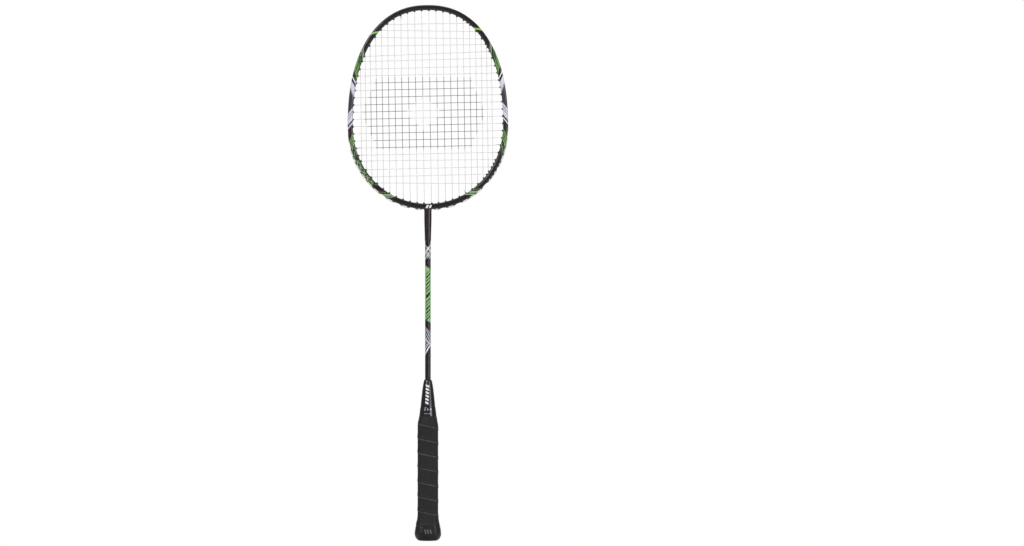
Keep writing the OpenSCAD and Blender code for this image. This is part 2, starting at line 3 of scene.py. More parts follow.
import bmesh
import bpy
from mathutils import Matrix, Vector


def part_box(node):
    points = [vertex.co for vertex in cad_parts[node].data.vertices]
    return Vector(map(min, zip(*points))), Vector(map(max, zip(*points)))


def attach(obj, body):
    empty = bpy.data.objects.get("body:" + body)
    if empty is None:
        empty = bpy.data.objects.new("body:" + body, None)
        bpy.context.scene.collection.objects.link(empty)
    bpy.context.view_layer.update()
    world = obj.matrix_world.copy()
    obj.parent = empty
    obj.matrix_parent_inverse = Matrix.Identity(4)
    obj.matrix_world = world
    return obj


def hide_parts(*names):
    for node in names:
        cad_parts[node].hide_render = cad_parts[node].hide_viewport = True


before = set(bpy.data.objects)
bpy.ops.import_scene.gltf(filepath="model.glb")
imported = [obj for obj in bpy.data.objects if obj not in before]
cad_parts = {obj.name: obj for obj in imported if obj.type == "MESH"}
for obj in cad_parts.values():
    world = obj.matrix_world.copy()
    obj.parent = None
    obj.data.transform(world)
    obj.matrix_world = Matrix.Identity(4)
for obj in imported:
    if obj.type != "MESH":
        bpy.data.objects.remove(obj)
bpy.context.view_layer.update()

MM = 0.001
TURN = 2 * math.pi


# ---- Plain sums ---------------------------------------------------------------------------------

def mix(a, b, t):
    return a + (b - a) * t


def clamp(t, low=0.0, high=1.0):
    return max(low, min(high, t))


def ease(t):
    t = clamp(t)
    return t * t * (3 - 2 * t)


def srgb(red, green, blue):
    """A colour given as 0 to 255 screen values, as the linear colour a shader takes."""
    def linear(c):
        c = c / 255
        return c / 12.92 if c <= 0.04045 else ((c + 0.055) / 1.055) ** 2.4
    return (linear(red), linear(green), linear(blue), 1.0)


# ---- Outline of the head, as in the part's source, in millimetres -------------------------------

head_low, head_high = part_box("head_frame")
HALF_WIDTH = head_high.x / MM
HEAD_TOP = head_high.z / MM
HEAD_FOOT = head_low.z / MM
RIM_DEPTH = (head_high.y - head_low.y) / MM
HEAD_RISE = 150.4
CROWN_POWER, FOOT_POWER = 2.26, 2.04
WIDE_Z = HEAD_TOP - HEAD_RISE
HEAD_DROP = WIDE_Z - HEAD_FOOT
RIM_WIDTH, RIM_WIDTH_FOOT = 6.3, 7.1
GROOVE_DEPTH, GROOVE_HALF = 1.8, 2.25
GROOVE_END, GROOVE_FADE = 25.0, 40.0
OUTER_ROUND, INNER_ROUND = 2.3, 2.6


def head_shape(a):
    """Half height and squareness of the head on the side that angle a, in degrees, points to."""
    return (HEAD_RISE, CROWN_POWER) if math.sin(math.radians(a)) >= 0 else (HEAD_DROP, FOOT_POWER)


def outline(a):
    semi, power = head_shape(a)
    c, s = math.cos(math.radians(a)), math.sin(math.radians(a))
    reach = ((abs(c) / HALF_WIDTH) ** power + (abs(s) / semi) ** power) ** (-1 / power)
    return Vector((reach * c, WIDE_Z + reach * s))


def outward(a):
    semi, power = head_shape(a)
    x, z = outline(a)
    z -= WIDE_Z
    slope = Vector((
        math.copysign((abs(x) / HALF_WIDTH) ** (power - 1) / HALF_WIDTH, x),
        math.copysign((abs(z) / semi) ** (power - 1) / semi, z),
    ))
    return slope.normalized()


def inside(a, depth):
    return outline(a) - depth * outward(a)


def rim(a):
    return RIM_WIDTH + (RIM_WIDTH_FOOT - RIM_WIDTH) * max(0.0, -math.sin(math.radians(a))) ** 4


def groove(a):
    below = math.degrees(math.asin(-math.sin(math.radians(a))))
    return GROOVE_DEPTH * clamp((GROOVE_END - below) / GROOVE_FADE)


# ---- Mesh helpers -------------------------------------------------------------------------------

def smoothed(mesh):
    for polygon in mesh.polygons:
        polygon.use_smooth = True


def add_piece(name, vertices, faces=(), edges=()):
    """A mesh object at the origin from points in millimetres."""
    mesh = bpy.data.meshes.new(name)
    mesh.from_pydata([Vector(v) * MM for v in vertices], edges, faces)
    mesh.validate()
    mesh.update()
    smoothed(mesh)
    piece = bpy.data.objects.new(name, mesh)
    bpy.context.scene.collection.objects.link(piece)
    return piece


def face_outwards(piece):
    built = bmesh.new()
    built.from_mesh(piece.data)
    bmesh.ops.remove_doubles(built, verts=built.verts, dist=1e-7)
    bmesh.ops.recalc_face_normals(built, faces=built.faces)
    built.to_mesh(piece.data)
    built.free()


def keep_edges(piece, degrees):
    """Edges that turn more than so many degrees stay crisp in the shading."""
    built = bmesh.new()
    built.from_mesh(piece.data)
    for edge in built.edges:
        edge.smooth = edge.calc_face_angle(0.0) < math.radians(degrees)
    built.to_mesh(piece.data)
    built.free()


def stacked(name, rings, sharp_degrees):
    """Closed skin over rings with the same number of points; the last ring joins the first."""
    sides, count = len(rings[0]), len(rings)
    faces = []
    for r in range(count):
        near, far = r * sides, ((r + 1) % count) * sides
        for s in range(sides):
            t = (s + 1) % sides
            faces.append((near + s, near + t, far + t, far + s))
    piece = add_piece(name, [p for ring in rings for p in ring], faces)
    face_outwards(piece)
    keep_edges(piece, sharp_degrees)
    return piece


def level_ring(radius, height, sides):
    """A circle of points round the racket's axis, from the front."""
    turns = [TURN * s / sides for s in range(sides)]
    return [(radius * math.sin(u), -radius * math.cos(u), height) for u in turns]


def turned(name, profile, sides, sharp_degrees):
    """A piece turned on the racket's axis from a closed profile of [radius, height] points."""
    return stacked(name, [level_ring(r, height, sides) for r, height in profile], sharp_degrees)


def set_points(piece, name, values, kind="FLOAT_VECTOR"):
    attribute = piece.data.attributes.new(name, kind, "POINT")
    field = "vector" if kind == "FLOAT_VECTOR" else "value"
    flat = [c for v in values for c in v] if kind == "FLOAT_VECTOR" else list(values)
    attribute.data.foreach_set(field, flat)


# ---- Node helpers -------------------------------------------------------------------------------

def add(tree, kind, **settings):
    node = tree.nodes.new(kind)
    for key, value in settings.items():
        setattr(node, key, value)
    return node


def join(tree, *links):
    """Links, each given as node, output, node, input."""
    for source, output, target, entry in links:
        tree.links.new(source.outputs[output], target.inputs[entry])


class Number:
    """A number in a material. Sums with it put in the nodes that work them out, and a comparison
    gives 1 where it holds and 0 elsewhere."""

    def __init__(self, finish, socket):
        self.finish, self.socket = finish, socket

    def sum(self, operation, *others, clamped=False):
        given = dict(enumerate((self, *others)))
        node = self.finish.put("ShaderNodeMath", given, operation=operation, use_clamp=clamped)
        return Number(self.finish, node.outputs[0])

    def __add__(self, other):
        return self.sum("ADD", other)

    def __sub__(self, other):
        return self.sum("SUBTRACT", other)

    def __mul__(self, other):
        return self.sum("MULTIPLY", other)

    def __truediv__(self, other):
        return self.sum("DIVIDE", other)

    def __lt__(self, other):
        return self.sum("LESS_THAN", other)

    def __gt__(self, other):
        return self.sum("GREATER_THAN", other)

    def __abs__(self):
        return self.sum("ABSOLUTE")

    def held(self):
        """Kept between 0 and 1."""
        return self.sum("ADD", 0.0, clamped=True)

    def fraction(self):
        return self.sum("FRACT")

    def between(self, low, high):
        return (self > low) * (self < high)

    def near(self, centre, half):
        return abs(self - centre) < half

    def repeats(self, pitch, share):
        """1 over a share of each pitch."""
        return (self / pitch).fraction() < share

    def either(self, other):
        return self.sum("MAXIMUM", other)


class Finish:
    """A material being wired. Its vector, x, y and z are object coordinates in millimetres."""

    def __init__(self, name, **shader):
        self.material = bpy.data.materials.new(name)
        self.material.use_nodes = True
        self.tree = self.material.node_tree
        self.shader = self.tree.nodes["Principled BSDF"]
        for key, value in shader.items():
            self.shader.inputs[key.replace("_", " ")].default_value = value
        place = self.put("ShaderNodeTexCoord").outputs["Object"]
        scaled = self.put("ShaderNodeVectorMath", {0: place, "Scale": 1 / MM}, operation="SCALE")
        self.vector = scaled.outputs[0]
        self.x, self.y, self.z = self.split(self.vector)

    def put(self, kind, given=None, **settings):
        """A new node with its settings, and what is given fed into its inputs."""
        node = add(self.tree, kind, **settings)
        for key, value in (given or {}).items():
            self.feed(node.inputs[key], value)
        return node

    def feed(self, socket, value):
        if isinstance(value, (int, float, tuple)):
            socket.default_value = value
        else:
            self.tree.links.new(value.socket if isinstance(value, Number) else value, socket)

    def split(self, vector):
        return [Number(self, part) for part in self.put("ShaderNodeSeparateXYZ", {0: vector}).outputs]

    def read(self, name):
        """A point attribute of the piece, as three numbers."""
        return self.split(self.put("ShaderNodeAttribute", attribute_name=name).outputs["Vector"])

    def bands(self, at, reach, stops):
        """Crisp bands along a number, as colour and cover: stops are (start, colour), None is clear.
        The edges fall on fine even steps of the reach, so another reach moves them a little."""
        low, high = reach
        span = self.put("ShaderNodeMapRange", {"Value": at, "From Min": low, "From Max": high}, clamp=True)
        ramp = self.put("ShaderNodeValToRGB", {0: span.outputs[0]})
        ramp.color_ramp.interpolation = "CONSTANT"
        elements = ramp.color_ramp.elements
        elements.remove(elements[-1])
        elements[0].position, elements[0].color = 0.0, (0.0, 0.0, 0.0, 0.0)
        last = elements[0].color[:]
        for start, colour in stops:
            last = colour or (*last[:3], 0.0)
            elements.new((start - low) / (high - low)).color = last
        return ramp.outputs["Color"], ramp.outputs["Alpha"]

    def over(self, below, above, amount):
        # The colour sockets of this node share their names with its number sockets, so they go by place
        factor, first, second, result = 0, 6, 7, 2
        given = {factor: amount, first: below, second: above}
        return self.put("ShaderNodeMix", given, data_type="RGBA").outputs[result]

    def noise(self, scale, detail=3.0, roughness=0.5, stretch=None):
        vector = self.vector
        if stretch:
            pulled = self.put("ShaderNodeVectorMath", {0: vector, 1: stretch}, operation="MULTIPLY")
            vector = pulled.outputs[0]
        given = {"Vector": vector, "Scale": scale, "Detail": detail, "Roughness": roughness}
        return Number(self, self.put("ShaderNodeTexNoise", given).outputs["Fac"])

    def done(self, colour, rough, height, strength, depth_mm):
        """The finished material, with bumps that follow the height."""
        bumps = {"Height": height, "Strength": strength, "Distance": depth_mm * MM}
        normal = self.put("ShaderNodeBump", bumps).outputs[0]
        for key, value in (("Base Color", colour), ("Roughness", rough), ("Normal", normal)):
            self.feed(self.shader.inputs[key], value)
        return self.material


def grained(name, tones, noise, rough, bump, **shader):
    """A plain finish whose tone, roughness and bumps all follow one noise."""
    f = Finish(name, **shader)
    grain = f.noise(**noise)
    share, least = rough
    return f.done(f.over(srgb(*tones[0]), srgb(*tones[1]), grain), grain * share + least, grain, *bump)


# ---- Growing things along paths and at points ---------------------------------------------------

def new_tree(name, inputs):
    """A Geometry Nodes tree with one geometry input, the named inputs and one geometry output."""
    tree = bpy.data.node_groups.new(name, "GeometryNodeTree")
    for label, kind in [("Geometry", "Geometry"), *inputs]:
        tree.interface.new_socket(label, in_out="INPUT", socket_type="NodeSocket" + kind)
    tree.interface.new_socket("Geometry", in_out="OUTPUT", socket_type="NodeSocketGeometry")
    tree.is_modifier = True
    return tree, add(tree, "NodeGroupInput"), add(tree, "NodeGroupOutput")


def grown(base, tree, values):
    """The base piece's mesh is replaced with what the tree makes of it."""
    modifier = base.modifiers.new("growth", "NODES")
    modifier.node_group = tree
    for item in tree.interface.items_tree:
        if item.item_type == "SOCKET" and item.in_out == "INPUT" and item.name in values:
            modifier[item.identifier] = values[item.name]
    bpy.context.view_layer.update()
    graph = bpy.context.evaluated_depsgraph_get()
    mesh = bpy.data.meshes.new_from_object(base.evaluated_get(graph), depsgraph=graph)
    base.modifiers.remove(modifier)
    base.data = mesh
    smoothed(mesh)


def sweep_tree():
    """Sweeps a round section along every line of the base."""
    tree, given, made = new_tree("string_sweep", [
        ("Thickness", "Float"), ("Sides", "Int"), ("Material", "Material")])
    line = add(tree, "GeometryNodeMeshToCurve")
    section = add(tree, "GeometryNodeCurvePrimitiveCircle")
    half = add(tree, "ShaderNodeMath", operation="MULTIPLY")
    half.inputs[1].default_value = 0.5
    sweep = add(tree, "GeometryNodeCurveToMesh")
    sweep.inputs["Fill Caps"].default_value = True
    real = add(tree, "GeometryNodeRealizeInstances")
    paint = add(tree, "GeometryNodeSetMaterial")
    join(tree,
         (given, "Geometry", line, "Mesh"), (line, "Curve", sweep, "Curve"),
         (given, "Thickness", half, 0), (half, 0, section, "Radius"),
         (given, "Sides", section, "Resolution"), (section, "Curve", sweep, "Profile Curve"),
         (sweep, "Mesh", real, "Geometry"), (real, "Geometry", paint, "Geometry"),
         (given, "Material", paint, "Material"), (paint, "Geometry", made, "Geometry"))
    return tree


def swept(name, path, thickness, sides, material, tree):
    """A round cord of one thickness along a path."""
    base = add_piece(name, path, edges=[(k, k + 1) for k in range(len(path) - 1)])
    grown(base, tree, {"Thickness": thickness * MM, "Sides": sides, "Material": material})
    face_outwards(base)
    return base


def set_tree():
    """Sets one turned fitting at every point of the base, aimed along the point's way and drawn out
    to the point's own length behind its flange."""
    tree, given, made = new_tree("grommet_setting", [("Fitting", "Object"), ("Material", "Material")])

    def named(name, kind):
        node = add(tree, "GeometryNodeInputNamedAttribute", data_type=kind)
        node.inputs["Name"].default_value = name
        return node

    way, extra, slide = named("way", "FLOAT_VECTOR"), named("extra", "FLOAT"), named("slide", "FLOAT")
    fitting = add(tree, "GeometryNodeObjectInfo")
    points = add(tree, "GeometryNodeMeshToPoints")
    aim = add(tree, "FunctionNodeAlignRotationToVector", axis="Z")
    placed = add(tree, "GeometryNodeInstanceOnPoints")
    real = add(tree, "GeometryNodeRealizeInstances")
    reach = add(tree, "ShaderNodeMath", operation="MULTIPLY")
    pull = add(tree, "ShaderNodeVectorMath", operation="SCALE")
    moved = add(tree, "GeometryNodeSetPosition")
    paint = add(tree, "GeometryNodeSetMaterial")
    join(tree,
         (given, "Fitting", fitting, "Object"), (given, "Geometry", points, "Mesh"),
         (points, "Points", placed, "Points"), (fitting, "Geometry", placed, "Instance"),
         (way, "Attribute", aim, "Vector"), (aim, "Rotation", placed, "Rotation"),
         (placed, "Instances", real, "Geometry"), (real, "Geometry", moved, "Geometry"),
         (extra, "Attribute", reach, 0), (slide, "Attribute", reach, 1),
         (way, "Attribute", pull, 0), (reach, 0, pull, "Scale"), (pull, 0, moved, "Offset"),
         (moved, "Geometry", paint, "Geometry"), (given, "Material", paint, "Material"),
         (paint, "Geometry", made, "Geometry"))
    return tree


# ---- Head frame ---------------------------------------------------------------------------------

HOOP_STEPS = 440
ARC_STEPS = 8
PATTERN_SHIFT = 3.3


def arc(centre_depth, centre_y, radius, start, end):
    return [
        (centre_depth + radius * math.cos(math.radians(t)), centre_y + radius * math.sin(math.radians(t)))
        for t in (mix(start, end, k / ARC_STEPS) for k in range(ARC_STEPS + 1))
    ]


def hoop_section(a):
    """[depth inside the outline, distance behind the mid-plane] all round the tube."""
    width, half, sink = rim(a), RIM_DEPTH / 2, groove(a)
    lip = min(sink, 0.35)
    bed = [(sink, y) for y in (-1.95, -1.0, 0.0, 1.0, 1.95)]
    return (
        bed
        + [(lip, GROOVE_HALF - 0.1), (0.3 * lip, GROOVE_HALF)]
        + arc(OUTER_ROUND, half - OUTER_ROUND, OUTER_ROUND, 180, 90)
        + arc(width - INNER_ROUND, half - INNER_ROUND, INNER_ROUND, 90, 0)
        + arc(width - INNER_ROUND, INNER_ROUND - half, INNER_ROUND, 0, -90)
        + arc(OUTER_ROUND, OUTER_ROUND - half, OUTER_ROUND, -90, -180)
        + [(0.3 * lip, -GROOVE_HALF), (lip, 0.1 - GROOVE_HALF)]
    )


def build_hoop():
    """The painted tube. Each point knows its run from the crown, how far it lies across the tube
    from outside (-1) to inside (1), and its side of the head."""
    rings, marks = [], []
    runs, total, before = [], 0.0, outline(90)
    for k in range(HOOP_STEPS):
        here = outline(90 + 360 * k / HOOP_STEPS)
        total += (here - before).length
        runs.append(total)
        before = here
    total += (outline(90) - before).length
    for k in range(HOOP_STEPS):
        a = 90 + 360 * k / HOOP_STEPS
        run = runs[k] if k <= HOOP_STEPS / 2 else runs[k] - total
        section = hoop_section(a)
        places = [(inside(a, depth), y) for depth, y in section]
        rings.append([(p.x, y, p.y) for p, y in places])
        side = -1.0 if run > 0 else 1.0
        marks += [(abs(run - PATTERN_SHIFT), 2 * depth / rim(a) - 1, side) for depth, _ in section]
    piece = stacked("head_hoop", rings, 60)
    set_points(piece, "run", marks)
    return piece


# ---- Paints of the head -------------------------------------------------------------------------

BLACK = srgb(34, 27, 30)
WARM_BLACK = srgb(48, 40, 43)
LIME = srgb(152, 206, 106)
PALE_LIME = srgb(190, 218, 168)
MID_GREEN = srgb(84, 124, 68)
DARK_GREEN = srgb(34, 50, 29)
LILAC = srgb(220, 220, 238)
WHITE = srgb(245, 245, 250)
GUNMETAL = srgb(64, 64, 72)
LINE_GREY = srgb(120, 122, 135)


# Slanted bands of the head: how far each lies over from outside to inside, its reach along the run
# from the crown, and where in it the colours start
HEAD_BANDS = (
    (-8, (70, 90), ((72.6, DARK_GREEN), (75.2, LIME), (78.4, DARK_GREEN), (80.6, None))),
    (12, (98, 146), ((102.8, DARK_GREEN), (104.4, PALE_LIME), (105.8, DARK_GREEN), (108.2, PALE_LIME),
          (109.4, DARK_GREEN), (113.6, MID_GREEN), (115.4, DARK_GREEN), (118.6, MID_GREEN),
          (120.6, DARK_GREEN), (123.0, LIME), (124.4, DARK_GREEN), (126.9, LIME), (128.3, DARK_GREEN),
          (130.7, LIME), (132.1, DARK_GREEN), (134.3, LIME), (135.8, DARK_GREEN), (141.6, None))),
    (-10, (196, 226), ((202.0, WARM_BLACK), (218.0, None))),
    (8, (140, 180), ((142.8, WHITE), (144.7, BLACK), (148.6, LILAC), (175.0, None))),
    (-8, (160, 208), ((166.0, LILAC), (186.4, LINE_GREY), (187.6, LILAC), (190.2, LINE_GREY), (191.4, LILAC),
          (198.0, BLACK), (201.2, WHITE), (203.2, None))),
    (-12, (212, 250), ((216.0, DARK_GREEN), (217.6, LIME), (219.0, DARK_GREEN), (221.4, LIME),
           (222.8, DARK_GREEN), (225.2, LIME), (226.6, DARK_GREEN), (229.2, PALE_LIME), (230.4, DARK_GREEN),
           (233.6, MID_GREEN), (235.0, DARK_GREEN), (238.0, PALE_LIME), (238.9, DARK_GREEN),
           (242.0, MID_GREEN), (243.2, DARK_GREEN), (246.0, None))),
    (10, (296, 322), ((299.0, DARK_GREEN), (301.6, MID_GREEN), (303.4, DARK_GREEN), (306.6, PALE_LIME),
          (307.9, DARK_GREEN), (309.6, PALE_LIME), (310.9, DARK_GREEN), (313.0, PALE_LIME),
          (314.4, DARK_GREEN), (318.0, None))),
)
SCUFF_Z = 660.0


def hoop_paint():
    f = Finish("hoop_paint", Roughness=0.3, Specular_IOR_Level=0.35, Coat_Weight=0.3, Coat_Roughness=0.06)
    run, across, hand = f.read("run")

    def slanted(lean):
        """Constant along lines that lean so many millimetres from outside to inside."""
        return run - across * (lean / 2)

    colour = BLACK
    for lean, reach, stops in HEAD_BANDS:
        colour = f.over(colour, *f.bands(slanted(lean), reach, stops))
    # Gunmetal wedge over the pale field
    fade = f.put("ShaderNodeMapRange", {"Value": slanted(12), "From Min": 156.0, "From Max": 163.5},
                 interpolation_type="SMOOTHSTEP")
    colour = f.over(colour, GUNMETAL, (slanted(-10) < 183.0) * fade.outputs[0])
    # Crossed pattern on the left side
    patch = (hand < 0.0) * slanted(9).between(248.0, 288.0) * (across < 0.45)
    crossed = slanted(11).repeats(3.7, 0.3).either(slanted(-13).repeats(5.9, 0.26))
    fine = slanted(11).repeats(7.4, 0.13).either(slanted(-9).repeats(8.3, 0.1))
    for tint, amount in ((DARK_GREEN, patch), (MID_GREEN, patch * crossed), (PALE_LIME, patch * fine)):
        colour = f.over(colour, tint, amount)
    # Two slanted bars on the tube above the shaft
    leaning = f.x - 1.2 - (f.z - 421.0) * 0.4
    bars = abs(leaning).near(2.0, 1.25) * f.z.between(419.1, 422.9)
    colour = f.over(colour, WHITE, bars)
    # Clear coat with a faint unevenness, and a little wear where a head scrapes the floor
    grain = f.noise(0.9, 4.0, 0.6)
    scuff = (f.noise(2.2, 2.0, stretch=(1, 1, 0.25)) > 0.69) * (f.z > SCUFF_Z)
    colour = f.over(colour, GUNMETAL, scuff * 0.5)
    return f.done(colour, grain * 0.14 + 0.2 + scuff * 0.25, grain, 0.12, 0.05)


# ---- String holes and string paths --------------------------------------------------------------

MAINS_HALF, CROSSES = 11, 23
MAIN_PITCH, MAIN_CLOSING = 8.95, 0.0098
CROSS_PITCH, CROSS_MID_Z = 9.08, 551.1
LEAN, SLOPE = math.tan(math.radians(0.8)), math.tan(math.radians(1.3))
TIP_PROUD, FLANGE_T, SEAT_GAP = 1.2, 0.6, 0.06
SHARE_GAP, SLANT_X, SLANT_SINK = 4.4, 9.1, 0.5
STRING_D, LAYER = 0.7, 0.36
RUN_GAP = 0.5
PIVOT_Z = HEAD_FOOT + RIM_WIDTH_FOOT


class Hole:
    """One string hole: the seat of its flange, its way into the head, its length to the tip."""

    def __init__(self, seat, way, length, angle, sink=0.0):
        self.seat, self.way, self.length, self.angle, self.sink = seat, way, length, angle, sink
        self.shared = False

    def outer(self, y):
        p = self.seat - (FLANGE_T + RUN_GAP + self.sink) * self.way
        return (p.x, y, p.y)

    def tip(self):
        return self.seat + self.length * self.way


def main_x(i):
    return MAIN_PITCH * (i - 0.5) - MAIN_CLOSING * (i - 0.5) ** 3


def cross_z(j):
    return CROSS_MID_Z + (j - (CROSSES + 1) / 2) * CROSS_PITCH


def tip_at(a):
    return inside(a, rim(a) + TIP_PROUD)


def halved(miss, low, high):
    side = miss(low) > 0
    for _ in range(40):
        mid = (low + high) / 2
        if (miss(mid) > 0) == side:
            low = mid
        else:
            high = mid
    return (low + high) / 2


def main_angle(x, low, high):
    return halved(lambda a: tip_at(a).x - x + (tip_at(a).y - PIVOT_Z) * LEAN, low, high)


def square_hole(a):
    length = rim(a) - groove(a) + SEAT_GAP + TIP_PROUD
    return Hole(inside(a, groove(a) - SEAT_GAP), -outward(a), length, a)


def slant_hole(side):
    a = -90 + side * math.degrees(math.atan(SLANT_X / HEAD_DROP))
    foot = tip_at(main_angle(side * main_x(1), -170, -10))
    way = (foot - outline(a)).normalized()
    return Hole(outline(a) + SLANT_SINK * way, way, (foot - outline(a)).length - SLANT_SINK, a, SLANT_SINK)


def nearest_main(own):
    """The main string's hole that a cross string's hole would run into, if there is one."""
    taken = [*main_tops.values(), *main_feet.values()]
    return next((h for h in taken if (h.seat - own.seat).length < SHARE_GAP), None)


main_tops, main_feet, cross_holes = {}, {}, {}
for side in (-1, 1):
    for i in range(1, MAINS_HALF + 1):
        x = side * main_x(i)
        main_tops[side, i] = square_hole(main_angle(x, 2, 178))
        main_feet[side, i] = slant_hole(side) if i == 1 else square_hole(main_angle(x, -178, -2))
    for j in range(1, CROSSES + 1):
        low, high = (-89, 89) if side > 0 else (91, 269)
        own = square_hole(halved(lambda a: tip_at(a).y - cross_z(j) - tip_at(a).x * SLOPE, low, high))
        near = nearest_main(own)
        cross_holes[side, j] = near or own
        if near:
            near.shared = True
every_use = [*main_tops.values(), *main_feet.values(), *cross_holes.values()]
all_holes = list({id(h): h for h in every_use}.values())


def round_run(first, last, y):
    """Points along the outside of the head between two holes."""
    turn = (last.angle - first.angle + 180) % 360 - 180
    steps = max(1, math.ceil(abs(turn) / 2.5))
    points = []
    for k in range(1, steps):
        a = first.angle + turn * k / steps
        p = inside(a, groove(a) - SEAT_GAP - FLANGE_T - RUN_GAP)
        points.append((p.x, y, p.y))
    return points


mains = [(side, i) for side in (-1, 1) for i in range(1, MAINS_HALF + 1)]
main_rows = sorted(mains, key=lambda m: m[0] * (m[1] - 0.5))


def meeting(p, q, r, s):
    """How far along p-q the lines p-q and r-s meet, if they meet within both."""
    d, e = q - p, s - r
    cross = d.x * e.y - d.y * e.x
    along = ((r.x - p.x) * e.y - (r.y - p.y) * e.x) / cross
    other = ((r.x - p.x) * d.y - (r.y - p.y) * d.x) / cross
    return along if 0.004 < along < 0.996 and 0.004 < other < 0.996 else None


def woven(p, q, others, own_row, layer):
    """A run from p to q that passes over and under the others in turn, and starts and ends in
    its own layer."""
    stops = []
    for row, (r, s) in enumerate(others):
        at = meeting(p, q, r, s)
        if at is not None:
            over = 1 if (row + own_row) % 2 == 0 else -1
            stops.append((at, over * math.copysign(STRING_D / 2, layer)))
    stops = [(0.0, layer)] + sorted(stops) + [(1.0, layer)]
    points = []
    for (a, low), (b, high) in zip(stops, stops[1:]):
        steps = max(2, round((b - a) * (q - p).length / 2.2))
        for k in range(steps):
            at = mix(a, b, k / steps)
            here = p.lerp(q, at)
            points.append((here.x, mix(low, high, ease(k / steps)), here.y))
    points.append((q.x, layer, q.y))
    return points


main_runs = [(main_tops[m].tip(), main_feet[m].tip()) for m in main_rows]
cross_runs = [(cross_holes[-1, j].tip(), cross_holes[1, j].tip()) for j in range(1, CROSSES + 1)]


def through(start, end, others, row, layer):
    """In at one hole, woven across the head and out at the other."""
    points = woven(start.tip(), end.tip(), others, row, layer)
    return [start.outer(layer)] + points + [end.outer(layer)]


def knotted(tie, layer):
    """The string comes in through a tie-off hole, winds twice round itself and ends in a short tail."""
    way = Vector((tie.way.x, 0, tie.way.y))
    across = Vector((0, math.copysign(1, layer), 0))
    third = way.cross(across)
    foot = Vector((tie.tip().x, layer, tie.tip().y))
    points = [tie.outer(layer), tuple(foot)]
    for k in range(26):
        t = TURN * k / 10
        swell = 0.55 * ease(k / 4) * (1 - 0.6 * ease((k - 21) / 4))
        centre = foot + way * (0.5 + 0.055 * k) + across * 0.55
        points.append(tuple(centre + across * swell * math.cos(t) + third * swell * math.sin(t)))
    points += [tuple(foot + way * on + across * off) for on, off in ((3.2, 1.1), (4.6, 1.35))]
    return points


def softened(path, radius=0.55):
    """Each sharp corner of a path becomes a short curve."""
    done = [Vector(path[0])]
    for before, here, after in zip(path, path[1:], path[2:]):
        before, here, after = Vector(before), Vector(here), Vector(after)
        back, on = before - here, after - here
        if back.length < 1e-6 or on.length < 1e-6:
            continue
        if back.angle(on) > math.radians(150):
            done.append(here)
            continue
        start = here + back.normalized() * min(radius, back.length / 2)
        end = here + on.normalized() * min(radius, on.length / 2)
        done += [start.lerp(here, t).lerp(here.lerp(end, t), t) for t in (0.0, 0.25, 0.5, 0.75, 1.0)]
    done.append(Vector(path[-1]))
    return [tuple(p) for p in done]


def main_string_path():
    halves = []
    for side in (-1, 1):
        path = []
        for i in range(1, MAINS_HALF + 1):
            top, foot = main_tops[side, i], main_feet[side, i]
            start, end = (top, foot) if i % 2 == 1 else (foot, top)
            if path:
                path += round_run(last, start, LAYER)
            path += through(start, end, cross_runs, main_rows.index((side, i)), LAYER)
            last = end
        tie = cross_holes[side, 6]
        path += round_run(last, tie, LAYER) + knotted(tie, LAYER)
        halves.append(path)
    loop = round_run(main_tops[-1, 1], main_tops[1, 1], LAYER)
    return list(reversed(halves[0])) + loop + halves[1]


def cross_string_path():
    first = cross_holes[-1, CROSSES]
    tie = main_tops[-1, 4]
    path = list(reversed(round_run(first, tie, -LAYER) + knotted(tie, -LAYER)))
    for count, j in enumerate(range(CROSSES, 0, -1)):
        left, right = cross_holes[-1, j], cross_holes[1, j]
        start, end = (left, right) if count % 2 == 0 else (right, left)
        if count:
            path += round_run(last, start, -LAYER)
        path += through(start, end, main_runs, j - 1, -LAYER)
        last = end
    tie = main_feet[1, 6]
    return path + round_run(last, tie, -LAYER) + knotted(tie, -LAYER)


def string_finish():
    """Pale coated string, inked dark inside a plain six-sided field with a clear lozenge in it."""
    f = Finish("string_coat", Roughness=0.35, Specular_IOR_Level=0.5)
    up, out = abs(f.z - 539.0), abs(f.x + 5.5)
    inked = (up < 45.5) * (up * 0.42 + out < 78.0) * (up * 1.05 + out > 23.0)
    bite = (f.noise(0.45, 3.0, 0.6) * 0.5 + 0.62).held()
    fibres = f.noise(6.0, 2.0)
    bare = f.over(srgb(230, 230, 228), srgb(214, 214, 212), fibres)
    colour = f.over(bare, srgb(40, 34, 37), inked * bite)
    return f.done(colour, inked * 0.25 + 0.33, fibres, 0.25, 0.03)


# ---- Grommets -----------------------------------------------------------------------------------

FLANGE_R, GROMMET_SIDES = 2.0, 20
MASTER_LENGTH = 6.0
BARREL_R, BORE_R = 1.3, 0.85
WIDE_BARREL_R, WIDE_BORE_R = 1.6, 1.05


def grommet_master(name, barrel, bore):
    """Turned nylon fitting: flange below zero, barrel up to its tip, which slides out to length."""
    top = MASTER_LENGTH
    profile = [
        (bore + 0.12, -FLANGE_T), (FLANGE_R - 0.22, -FLANGE_T), (FLANGE_R - 0.05, -FLANGE_T + 0.1),
        (FLANGE_R, -FLANGE_T + 0.28), (FLANGE_R, 0.0), (barrel + 0.05, 0.0), (barrel, 0.2),
        (barrel - 0.03, top - 0.35), (barrel - 0.1, top - 0.1), (barrel - 0.25, top),
        (bore + 0.06, top), (bore, top - 0.08), (bore, -FLANGE_T + 0.12),
    ]
    rings = [
        [(r * math.cos(TURN * s / GROMMET_SIDES), r * math.sin(TURN * s / GROMMET_SIDES), h)
         for s in range(GROMMET_SIDES)]
        for r, h in profile
    ]
    master = stacked(name, rings, 50)
    slides = [1.0 if v.co.z > 0.5 * top * MM else 0.0 for v in master.data.vertices]
    set_points(master, "slide", slides, "FLOAT")
    return master


